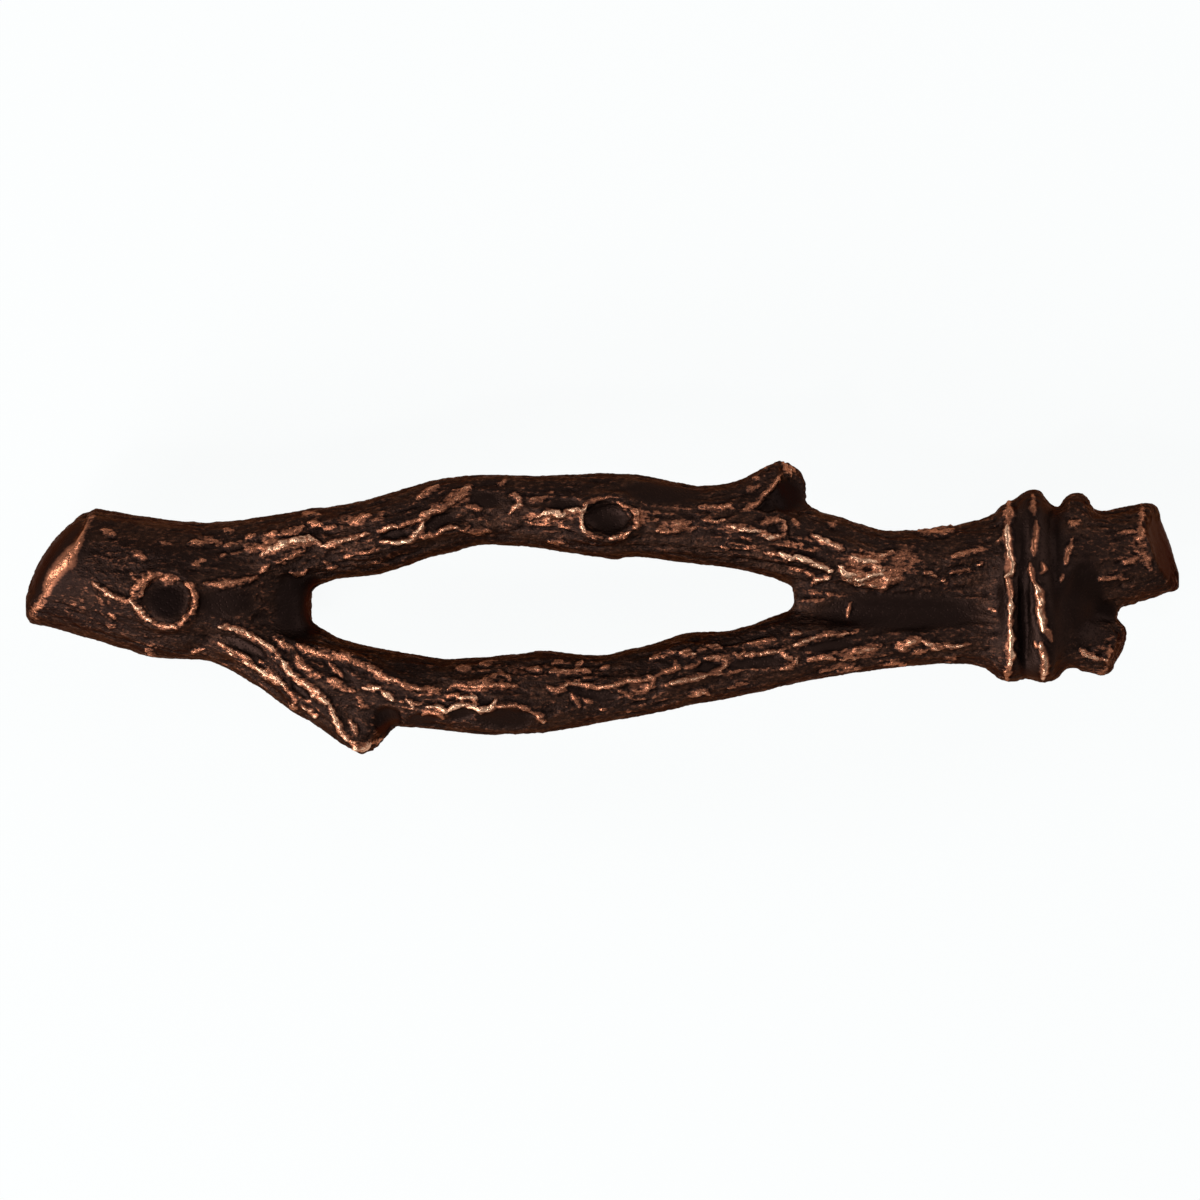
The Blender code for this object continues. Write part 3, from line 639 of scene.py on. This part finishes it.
# How deep each pixel lies in a stroke that narrows to its ends: 1 on its line, 0 at its edge
def strokeShare(pixels, points, halfWidth):
    line = np.array(points, dtype=float)
    steps = np.linalg.norm(np.diff(line, axis=0), axis=1)
    starts = np.concatenate([[0], np.cumsum(steps)])
    whole = starts[-1]
    best = np.full(len(pixels), -9.0)
    for first, second, step, start in zip(line, line[1:], steps, starts):
        run = second - first
        share = np.clip(((pixels - first) @ run) / (step * step), 0, 1)
        apart = np.linalg.norm(pixels - first - share[:, None] * run, axis=1)
        travelled = start + share * step
        toEnd = np.minimum(travelled, whole - travelled)
        reach = halfWidth * (0.5 + 0.5 * np.clip(toEnd / (1.5 * halfWidth), 0, 1))
        best = np.maximum(best, 1 - apart / reach)
    return best


# How deep each pixel lies in a turned ellipse: 1 well inside and 0 outside
def ellipseShare(pixels, x, y, wide, high, turn=0):
    angle = math.radians(turn)
    offX, offY = pixels[:, 0] - x, pixels[:, 1] - y
    turnedX = offX * math.cos(angle) + offY * math.sin(angle)
    turnedY = offY * math.cos(angle) - offX * math.sin(angle)
    return spread(1.1 - np.hypot(turnedX / wide, turnedY / high), 0, 0.45)


# The strongest of the patches that lie over each pixel
def patchShare(pixels, patches, gate):
    total = np.zeros(len(pixels))
    for x, y, wide, high, strength in patches:
        total = np.maximum(total, strength * ellipseShare(pixels, x, y, wide, high) * gate)
    return total


# The points near a stroke that can be seen from the front
def withinReach(pixels, facing, line, reach):
    low, high = np.min(line, axis=0) - reach, np.max(line, axis=0) + reach
    return np.flatnonzero(np.all((pixels > low) & (pixels < high), axis=1) & (facing > 0))


# Applies an object's modifiers and keeps only its mesh
def meshedAway(piece):
    bpy.context.view_layer.update()
    result = piece.evaluated_get(bpy.context.evaluated_depsgraph_get())
    mesh = bpy.data.meshes.new_from_object(result)
    bpy.data.objects.remove(piece)
    return mesh


# A fine mesh of the casting, faired where it is round and crisp where it was cut
def castingCopy():
    bm = bmesh.new()
    bm.from_mesh(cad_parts[castingNode].data)
    bmesh.ops.remove_doubles(bm, verts=bm.verts, dist=1e-6)
    crease = bm.edges.layers.float.new("crease_edge")
    sharp = math.radians(bark["creaseAngle"])
    for edge in bm.edges:
        if len(edge.link_faces) == 2 and edge.calc_face_angle() > sharp:
            edge[crease] = 1.0
    mesh = bpy.data.meshes.new("casting")
    bm.to_mesh(mesh)
    bm.free()
    piece = bpy.data.objects.new("casting", mesh)
    scene.collection.objects.link(piece)
    rounder = piece.modifiers.new("rounder", "SUBSURF")
    rounder.levels = rounder.render_levels = 2
    finer = piece.modifiers.new("finer", "REMESH")
    finer.mode = "VOXEL"
    finer.voxel_size = bark["voxel"]
    fairing = piece.modifiers.new("fairing", "SMOOTH")
    fairing.iterations = bark["fairing"]
    return meshedAway(piece)


# A property of a mesh's vertices or edges, a row for each
def rowsOf(items, name, width, kind=float):
    values = np.empty(len(items) * width, dtype=kind)
    items.foreach_get(name, values)
    return values.reshape(-1, width)


# Sets the vertices of a mesh, none of them outside the solid's box
def placeVertices(mesh, points):
    mesh.vertices.foreach_set("co", np.clip(points, *np.array(cadBounds)).ravel())
    mesh.update()


# The mean of each vertex's neighbours, for a value or a place
def neighbourMean(values, edges, count):
    total = np.zeros_like(values)
    for axis in range(values.shape[1]):
        total[:, axis] += np.bincount(edges[:, 0], values[edges[:, 1], axis], len(values))
        total[:, axis] += np.bincount(edges[:, 1], values[edges[:, 0], axis], len(values))
    return total / count[:, None]


# Swells or pares the outline, then blends the casting softer in chosen places
def shapeOutline(mesh):
    points = rowsOf(mesh.vertices, "co", 3)
    normals = rowsOf(mesh.vertices, "normal", 3)
    edges = rowsOf(mesh.edges, "vertices", 2, np.int32)
    pixels = picturePixels(points)
    above = frontShare(points)
    smoothing = list(softened)
    for x, y, wide, high, swelling in outlineSwells:
        apart = ((pixels[:, 0] - x) / wide) ** 2 + ((pixels[:, 1] - y) / high) ** 2
        push = swelling * mm * np.exp(-apart) * above
        points[:, :2] += normals[:, :2] * push[:, None]
        smoothing.append((x, y, wide * 1.5, high * 1.5, bark["swellPasses"]))
    for x, y, wide, high, passes in smoothing:
        weight = ellipseShare(pixels, x, y, wide, high) * above
        local = edges[(weight[edges[:, 0]] > 0) | (weight[edges[:, 1]] > 0)]
        known = np.unique(local)
        place = np.zeros(len(points), dtype=np.int32)
        place[known] = np.arange(len(known))
        local = place[local]
        part = points[known]
        share = weight[known][:, None]
        count = np.bincount(local.ravel(), minlength=len(known))
        for step in range(passes):
            part = part + 0.5 * share * (neighbourMean(part, local, count) - part)
        points[known] = part
    mesh.vertices.foreach_set("co", points.ravel())
    mesh.update()


# The direction in plan that the bark runs in at each point
def limbDirections(points):
    summed = np.zeros((len(points), 2))
    plan = points[:, :2] / mm
    for line in limbLines:
        for first, second in zip(np.array(line), np.array(line)[1:]):
            run = second - first
            share = np.clip(((plan - first) @ run) / (run @ run), 0, 1)
            apart = np.linalg.norm(plan - first - share[:, None] * run, axis=1)
            summed += (run / np.linalg.norm(run)) / ((apart * apart + 1) ** 2)[:, None]
    summed /= np.linalg.norm(summed, axis=1)[:, None]
    return np.column_stack([summed, np.zeros(len(points))])


# Noise drawn out along the limbs, with a spread of 1
def drawnNoise(points, along, scale, seed, reach):
    total = np.zeros(len(points))
    for step in np.linspace(-1, 1, 7):
        total += noiseOver(points + along * (step * reach * mm), scale, seed)
    return (total - total.mean()) / total.std()


# Bark with its tops worn flat
def wornDown(values, level):
    return level - np.log1p(np.exp(-3 * (values - level))) / 3


# Height, moat, rub and polish that the ridges and rubbed edges give each point
def strokeRelief(pixels, wandered, normals, facing, frayed, swell):
    ridgeTop, moat, rub, polish = np.zeros((4, len(pixels)))
    strokes = [(*ridge, 1.0) for ridge in ridges]
    strokes += [(*edge, bark["edgeShare"]) for edge in rubbedEdges]
    for width, wear, line, lifted in strokes:
        near = withinReach(pixels, facing, line, 2 * width + 4)
        # Bright ridges are worn smoother along their edges
        fray = frayed[near] * (1.15 - 0.78 * wear) * (0.3 + 0.7 * lifted)
        depth = strokeShare(wandered[near], line, width * 0.85) + fray
        lit = facing[near] if lifted == 1 else spread(normals[near, 2], 0.15, 0.6)
        share = np.clip(depth, 0, 1.1) * lit
        height = bark["ridgeLift"] * min(width, bark["widest"]) * (0.8 + 0.6 * swell[near])
        height *= (0.45 + 0.55 * wear) * lifted
        ridgeTop[near] = np.maximum(ridgeTop[near], height * spread(share, 0, 0.85))
        beside = np.exp(-((depth + 0.35) / 0.3) ** 2) * facing[near]
        moat[near] = np.maximum(moat[near], bark["moat"] * height * beside)
        rubbed = share * (0.45 + 0.75 * wear)
        better = rubbed > rub[near]
        rub[near] = np.where(better, rubbed, rub[near])
        polish[near] = np.where(better, wear, polish[near])
    return ridgeTop, moat, rub, polish


# How deep each point lies in a crack
def crackShare(pixels, facing):
    crack = np.zeros(len(pixels))
    for width, line in cracks:
        near = withinReach(pixels, facing, line, width + 3)
        share = np.clip(strokeShare(pixels[near], line, width * 0.8), 0, 1)
        crack[near] = np.maximum(crack[near], share * facing[near])
    return crack


# How smooth each point stays, and how far it is sunk
def smoothedShare(pixels, facing):
    calm, sunk = np.zeros((2, len(pixels)))
    for x, y, wide, high, turn, depth in smoothed:
        inside = ellipseShare(pixels, x, y, wide, high, turn) * facing
        calm = np.maximum(calm, inside)
        sunk = np.maximum(sunk, depth * inside)
    return calm, sunk


# How far each point stands over the bark round it
def crestHeights(mesh, lift):
    edges = rowsOf(mesh.edges, "vertices", 2, np.int32)
    count = np.maximum(np.bincount(edges.ravel(), minlength=len(lift)), 1)
    around = lift[:, None].copy()
    for step in range(bark["crestPasses"]):
        around = 0.4 * around + 0.6 * neighbourMean(around, edges, count)
    return lift - around[:, 0]


# Raises the ridges, sinks the hollows and leaves what the finish needs on the mesh
def carveBark(mesh):
    points = rowsOf(mesh.vertices, "co", 3)
    normals = rowsOf(mesh.vertices, "normal", 3)
    pixels = picturePixels(points)
    facing = spread(normals[:, 2], 0.0, 0.3)
    stray = np.column_stack([noiseOver(points, bark["strayScale"], seed) for seed in (0.3, 7.9)])
    fine = np.column_stack([noiseOver(points, bark["fineStrayScale"], seed) for seed in (2.3, 5.1)])
    wandered = pixels + bark["wander"] * (stray + 0.6 * fine)
    swell = noiseOver(points, bark["swellScale"], 4.4)
    along = limbDirections(points)
    ribs = drawnNoise(points, along, bark["ribScale"], seed=3.7, reach=3.2)
    streaks = drawnNoise(points, along, bark["streakScale"], seed=9.1, reach=1.0)
    specks = noiseOver(points, bark["speckScale"], 1.7)
    bindings = ellipseShare(pixels, *bark["bindings"])
    frayed = bark["fray"] * (0.5 * streaks + 0.8 * specks) * (1 - 0.6 * bindings)
    ridgeTop, moat, rub, polish = strokeRelief(pixels, wandered, normals, facing, frayed, swell)
    crack = crackShare(pixels, facing)
    grit = patchShare(wandered, grainy, facing)
    calm, sunk = smoothedShare(wandered, facing)
    posts = spread(bark["postTop"] - points[:, 2], 0, bark["postFade"])
    back = spread(-normals[:, 2], 0.2, 0.8)
    quiet = np.clip(np.maximum(calm, posts), 0, 1)
    rough = (1 - 0.85 * quiet) * (1 - 0.6 * back)
    ribs = wornDown(ribs, bark["wornFlat"])
    streaks = wornDown(streaks, bark["wornFlat"] + 0.2)
    # The trunk's bark is flatter than that of the branches
    streaky = 0.75 + 0.25 * spread(pixels[:, 0], *bark["trunkFork"])
    relief = bark["ribLift"] * ribs + bark["streakLift"] * streaks * (0.6 + 0.8 * grit)
    relief *= streaky
    lift = relief * rough + bark["grainLift"] * specks * rough
    patches = patchShare(wandered, bared, facing)
    moat *= spread(bark["moatEnd"] - ridgeTop, 0, bark["moatEnd"])
    lift += ridgeTop - moat * (1 - np.clip(1.5 * patches, 0, 1))
    lift -= sunk * (1 - np.clip(rub * 2, 0, 1)) + bark["crackDepth"] * crack
    rub = np.maximum(rub, patches * (0.85 + 0.5 * swell))
    rub *= 1 - spread(crack, 0.1, 0.5)
    crest = crestHeights(mesh, lift)
    # Low places between crests get the Deep colour: patina left in them, and painted shade
    patinaAndShade = 0.85 * spread(-crest / bark["crestSize"], 0.2, 1.6)
    found = {
        "rub": rub,
        "polish": np.maximum(polish, patches),
        "grit": grit,
        "calm": quiet,
        "patinaAndShade": np.maximum(patinaAndShade, patchShare(wandered, darkPatinaAndShade, frontShare(points))),
        "crest": crest / bark["crestSize"],
    }
    for name, values in found.items():
        layer = mesh.attributes.new(name, "FLOAT", "POINT")
        layer.data.foreach_set("value", values)
    placeVertices(mesh, points + normals * (lift * mm)[:, None])
    print("Crests from", np.percentile(crest, 5), "to", np.percentile(crest, 95), "mm")


# The same mesh with fewer triangles
def lightened(mesh, triangles):
    piece = bpy.data.objects.new("lighter", mesh)
    scene.collection.objects.link(piece)
    have = sum(len(face.vertices) - 2 for face in mesh.polygons)
    if have > triangles:
        fewer = piece.modifiers.new("fewer", "DECIMATE")
        fewer.ratio = triangles / have
    light = meshedAway(piece)
    placeVertices(light, rowsOf(light.vertices, "co", 3))
    light.name = "twigPull"
    return light


twigMesh = castingCopy()
print("Casting copied:", len(twigMesh.vertices), "vertices")
shapeOutline(twigMesh)
carveBark(twigMesh)
print("Bark carved")
twigMesh = lightened(twigMesh, bark["triangles"])
twigMesh.shade_smooth()
print("Bark lightened:", len(twigMesh.polygons), "faces")
twigPull = bpy.data.objects.new("twigPull", twigMesh)
scene.collection.objects.link(twigPull)

finish = {
    # linear colours, from the hollows to the brightest edges
    "colours": {
        # Deep is the patina of the hollows, also laid on as painted shade
        "Deep": (0.0102, 0.0059, 0.0053, 1),
        "Dark": (0.0268, 0.0146, 0.0116, 1),
        "Brown": (0.062, 0.0290, 0.0190, 1),
        "Dim": (0.155, 0.060, 0.036, 1),
        "Copper": (0.43, 0.162, 0.086, 1),
        "Bright": (0.80, 0.465, 0.30, 1),
    },
    "edgeTint": (0.60, 0.44, 0.39, 1),
    "roughness": (0.48, 0.26),  # of the patina and of bared copper
    "speckleScale": 3600,  # lumps to a metre
    "blotchScale": 420,  # lumps to a metre
    "raggedness": 2.6,  # how far the speckle breaks up the rubbed edges
    "crestRub": 0.17,  # how far the hand rubs a crest anywhere
    "gritRub": 1.15,  # how much further it does in the grainy patches
    "grainBump": 0.00016,  # m
    "bumpStrength": 0.7,
}


def addSocket(tree, name, direction, kind="NodeSocketFloat", value=None):
    socket = tree.interface.new_socket(name, in_out=direction, socket_type=kind)
    if value is not None:
        socket.default_value = value


# Puts a fixed value or a link into a socket
def feed(tree, socket, value):
    if isinstance(value, (int, float, tuple)):
        socket.default_value = value
    elif value is not None:
        tree.links.new(value, socket)


def attributeNode(tree, name):
    node = tree.nodes.new("ShaderNodeAttribute")
    node.attribute_name = name
    return node.outputs["Fac"]


def mathNode(tree, operation, first, second=None, third=None):
    node = tree.nodes.new("ShaderNodeMath")
    node.operation = operation
    for socket, value in zip(node.inputs, (first, second, third)):
        feed(tree, socket, value)
    return node.outputs[0]


def rangeNode(tree, value, low, high, toLow=0.0, toHigh=1.0):
    node = tree.nodes.new("ShaderNodeMapRange")
    node.interpolation_type = "SMOOTHSTEP"
    feed(tree, node.inputs["Value"], value)
    node.inputs["From Min"].default_value = low
    node.inputs["From Max"].default_value = high
    node.inputs["To Min"].default_value = toLow
    node.inputs["To Max"].default_value = toHigh
    return node.outputs["Result"]


def mixColour(tree, share, first, second):
    node = tree.nodes.new("ShaderNodeMix")
    node.data_type = "RGBA"
    feed(tree, node.inputs[0], share)
    feed(tree, node.inputs[6], first)
    feed(tree, node.inputs[7], second)
    return node.outputs[2]


# A place drawn out along the pull, so that what is on it gets longer that way
def drawnPlace(tree, place, share):
    node = tree.nodes.new("ShaderNodeVectorMath")
    node.operation = "MULTIPLY"
    node.inputs[1].default_value = (share, 1.0, 1.0)
    tree.links.new(place, node.inputs[0])
    return node.outputs[0]


def noiseNode(tree, place, scale, detail, roughness=0.5):
    node = tree.nodes.new("ShaderNodeTexNoise")
    tree.links.new(place, node.inputs["Vector"])
    feed(tree, node.inputs["Scale"], scale)
    node.inputs["Detail"].default_value = detail
    node.inputs["Roughness"].default_value = roughness
    return node.outputs[0]


# Fine speckle, blotches and pits of a sand casting
def castGrainGroup():
    tree = bpy.data.node_groups.new("castGrain", "ShaderNodeTree")
    addSocket(tree, "Scale", "INPUT", value=finish["speckleScale"])
    addSocket(tree, "Calm", "INPUT")
    for name in ("Speckle", "Blotches", "Height"):
        addSocket(tree, name, "OUTPUT")
    inside = tree.nodes.new("NodeGroupInput")
    outside = tree.nodes.new("NodeGroupOutput")
    place = tree.nodes.new("ShaderNodeTexCoord").outputs["Object"]
    scale = inside.outputs["Scale"]
    stretched = drawnPlace(tree, place, 0.55)
    speckle = noiseNode(tree, stretched, scale, 3.0, 0.65)
    blotches = noiseNode(tree, stretched, finish["blotchScale"], 2.0)
    fibreScale = mathNode(tree, "MULTIPLY", scale, 0.7)
    fibres = noiseNode(tree, drawnPlace(tree, place, 0.4), fibreScale, 2.0)
    pits = tree.nodes.new("ShaderNodeTexVoronoi")
    tree.links.new(place, pits.inputs["Vector"])
    tree.links.new(mathNode(tree, "MULTIPLY", scale, 0.8), pits.inputs["Scale"])
    # Smooth places keep only a little of the speckle
    rough = mathNode(tree, "MULTIPLY_ADD", inside.outputs["Calm"], -0.8, 1.0)
    most = mathNode(tree, "MULTIPLY", speckle, 1.3)
    both = mathNode(tree, "MULTIPLY_ADD", fibres, 0.7, most)
    centred = mathNode(tree, "SUBTRACT", mathNode(tree, "MULTIPLY", both, 0.5), 0.5)
    centred = mathNode(tree, "MULTIPLY", centred, 1.35)
    calmed = mathNode(tree, "MULTIPLY_ADD", centred, rough, 0.5)
    tree.links.new(calmed, outside.inputs["Speckle"])
    tree.links.new(blotches, outside.inputs["Blotches"])
    deep = rangeNode(tree, pits.outputs["Distance"], 0.0, 0.45)
    relief = mathNode(tree, "MULTIPLY", both, rough)
    height = mathNode(tree, "MULTIPLY_ADD", deep, 0.30, relief)
    tree.links.new(height, outside.inputs["Height"])
    return tree


# Brown patina, painted darker in hollows as patina and painted shade, rubbed through to copper
# where the rub is high
def rubbedPatinaGroup():
    tree = bpy.data.node_groups.new("rubbedPatina", "ShaderNodeTree")
    for name in ("Rub", "Polish", "Crest", "Speckle", "Blotches", "Calm", "PatinaAndShade"):
        addSocket(tree, name, "INPUT")
    for name in finish["colours"]:
        addSocket(tree, name, "INPUT", "NodeSocketColor")
    addSocket(tree, "Colour", "OUTPUT", "NodeSocketColor")
    addSocket(tree, "Bared", "OUTPUT")
    inside = tree.nodes.new("NodeGroupInput")
    outside = tree.nodes.new("NodeGroupOutput")
    given = inside.outputs
    centred = mathNode(tree, "SUBTRACT", given["Speckle"], 0.5)
    # Bark that was never rubbed shows few specks
    reached = rangeNode(tree, given["Rub"], 0.0, 0.3, 0.55, 1.0)
    specks = mathNode(tree, "MULTIPLY", centred, finish["raggedness"])
    ragged = mathNode(tree, "MULTIPLY_ADD", specks, reached, given["Rub"])
    mottled = mathNode(tree, "MULTIPLY_ADD", given["Speckle"], 1.6, given["Blotches"])
    brown = rangeNode(tree, mottled, 1.15, 1.65)
    # Smooth places, mostly troughs, crotches and knot floors, keep no brown: smoother patina with
    # painted shade
    brown = mathNode(tree, "MULTIPLY", brown, mathNode(tree, "SUBTRACT", 1.0, given["Calm"]))
    colour = mixColour(tree, brown, given["Dark"], given["Brown"])
    # Hollows and the listed dark places are painted towards Deep: patina with painted shade
    colour = mixColour(tree, given["PatinaAndShade"], colour, given["Deep"])
    colour = mixColour(tree, rangeNode(tree, ragged, 0.08, 0.40), colour, given["Dim"])
    bared = rangeNode(tree, ragged, 0.30, 0.85)
    colour = mixColour(tree, bared, colour, given["Copper"])
    # Only the crests of the rubbed metal are polished pale
    standing = mathNode(tree, "MULTIPLY_ADD", given["Crest"], 0.6, 0.5)
    shined = mathNode(tree, "MULTIPLY", ragged, given["Polish"])
    shined = mathNode(tree, "MULTIPLY", shined, standing)
    colour = mixColour(tree, rangeNode(tree, shined, 0.40, 1.10), colour, given["Bright"])
    tree.links.new(colour, outside.inputs["Colour"])
    tree.links.new(bared, outside.inputs["Bared"])
    return tree


def bronzeMaterial():
    material = bpy.data.materials.new("rubbedBronze")
    material.use_nodes = True
    tree = material.node_tree
    shader = tree.nodes["Principled BSDF"]
    grain = tree.nodes.new("ShaderNodeGroup")
    grain.node_tree = castGrainGroup()
    patina = tree.nodes.new("ShaderNodeGroup")
    patina.node_tree = rubbedPatinaGroup()
    for name, colour in finish["colours"].items():
        patina.inputs[name].default_value = colour
    calm = attributeNode(tree, "calm")
    grit = attributeNode(tree, "grit")
    tree.links.new(calm, grain.inputs["Calm"])
    # The hand rubs every crest a little, and the grainy patches more
    crests = rangeNode(tree, attributeNode(tree, "crest"), 0.1, 1.3)
    amount = mathNode(tree, "MULTIPLY_ADD", grit, finish["gritRub"], finish["crestRub"])
    loose = mathNode(tree, "MULTIPLY", crests, amount)
    loose = mathNode(tree, "MULTIPLY", loose, mathNode(tree, "SUBTRACT", 1.0, calm))
    given = {
        "Rub": mathNode(tree, "MAXIMUM", attributeNode(tree, "rub"), loose),
        "Polish": attributeNode(tree, "polish"),
        "Crest": crests,
        "Speckle": grain.outputs["Speckle"],
        "Blotches": grain.outputs["Blotches"],
        "Calm": calm,
        "PatinaAndShade": attributeNode(tree, "patinaAndShade"),
    }
    for name, value in given.items():
        tree.links.new(value, patina.inputs[name])
    tree.links.new(patina.outputs["Colour"], shader.inputs["Base Color"])
    shader.inputs["Metallic"].default_value = 1.0
    shader.inputs["Specular Tint"].default_value = finish["edgeTint"]
    roughness = rangeNode(tree, patina.outputs["Bared"], 0, 1, *finish["roughness"])
    tree.links.new(roughness, shader.inputs["Roughness"])
    bump = tree.nodes.new("ShaderNodeBump")
    bump.inputs["Strength"].default_value = finish["bumpStrength"]
    bump.inputs["Distance"].default_value = finish["grainBump"]
    tree.links.new(grain.outputs["Height"], bump.inputs["Height"])
    tree.links.new(bump.outputs["Normal"], shader.inputs["Normal"])
    return material


twigPull.data.materials.clear()
twigPull.data.materials.append(bronzeMaterial())
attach(twigPull, "root")
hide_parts(castingNode)
print("Bronze finished")


studio = {
    # place, size and power
    "lamps": {
        "keySoftbox": ((-0.44, -0.40, 0.42), 0.36, 3.7),
        "leftSoftbox": ((-0.60, 0.22, 0.42), 0.22, 1.6),
        "glintLamp": ((-0.28, -0.34, 0.75), 0.08, 1.2),
        "rightFill": ((0.55, 0.30, 0.50), 0.50, 1.5),
    },
    "lampAim": (0, 0, 0.015),
    "ambient": 0.27,
    "floorHalf": 12,
    "floorColour": (0.80, 0.81, 0.81, 1.0),
    "backgroundColour": (0.985, 1.0, 1.0, 1.0),
    "backgroundShare": 0.93,  # how much of the floor's shade the white background hides
}


def floorMaterial():
    material = bpy.data.materials.new("paleFloor")
    material.use_nodes = True
    tree = material.node_tree
    tree.nodes.remove(tree.nodes["Principled BSDF"])
    output = tree.nodes["Material Output"]
    plain = tree.nodes.new("ShaderNodeBsdfDiffuse")
    plain.inputs["Color"].default_value = studio["floorColour"]
    white = tree.nodes.new("ShaderNodeEmission")
    white.inputs["Color"].default_value = studio["backgroundColour"]
    path = tree.nodes.new("ShaderNodeLightPath").outputs
    seen = mathNode(tree, "MAXIMUM", path["Is Camera Ray"], path["Is Glossy Ray"])
    seen = mathNode(tree, "MAXIMUM", seen, path["Is Transmission Ray"])
    share = mathNode(tree, "MULTIPLY", seen, studio["backgroundShare"])
    mixed = tree.nodes.new("ShaderNodeMixShader")
    tree.links.new(share, mixed.inputs[0])
    tree.links.new(plain.outputs[0], mixed.inputs[1])
    tree.links.new(white.outputs[0], mixed.inputs[2])
    tree.links.new(mixed.outputs[0], output.inputs["Surface"])
    return material


floorMesh = bpy.data.meshes.new("floor")
half = studio["floorHalf"]
corners = [(-half, -half, 0), (half, -half, 0), (half, half, 0), (-half, half, 0)]
floorMesh.from_pydata(corners, [], [(0, 1, 2, 3)])
floorMesh.materials.append(floorMaterial())
floor = bpy.data.objects.new("floor", floorMesh)
scene.collection.objects.link(floor)

for name, (place, size, power) in studio["lamps"].items():
    lamp = bpy.data.lights.new(name, "AREA")
    lamp.size = size
    lamp.energy = power
    holder = bpy.data.objects.new(name, lamp)
    holder.location = place
    towards = Vector(studio["lampAim"]) - Vector(place)
    holder.rotation_euler = towards.to_track_quat("-Z", "Y").to_euler()
    scene.collection.objects.link(holder)

world = bpy.data.worlds.new("paleRoom")
scene.world = world
world.use_nodes = True
background = world.node_tree.nodes["Background"]
grey = studio["ambient"]
background.inputs["Color"].default_value = (grey, grey, grey, 1)
background.inputs["Strength"].default_value = 1.0

lens = bpy.data.cameras.new("camera")
lens.lens = camera["lens"]
lens.sensor_width = camera["sensor"]
lens.clip_end = camera["clipEnd"]
cameraObject = bpy.data.objects.new("camera", lens)
cameraObject.location = (camera["x"], camera["y"], camera["z"])
scene.collection.objects.link(cameraObject)
scene.camera = cameraObject
scene.view_settings.view_transform = "Standard"
print("Floor, lights and camera set")
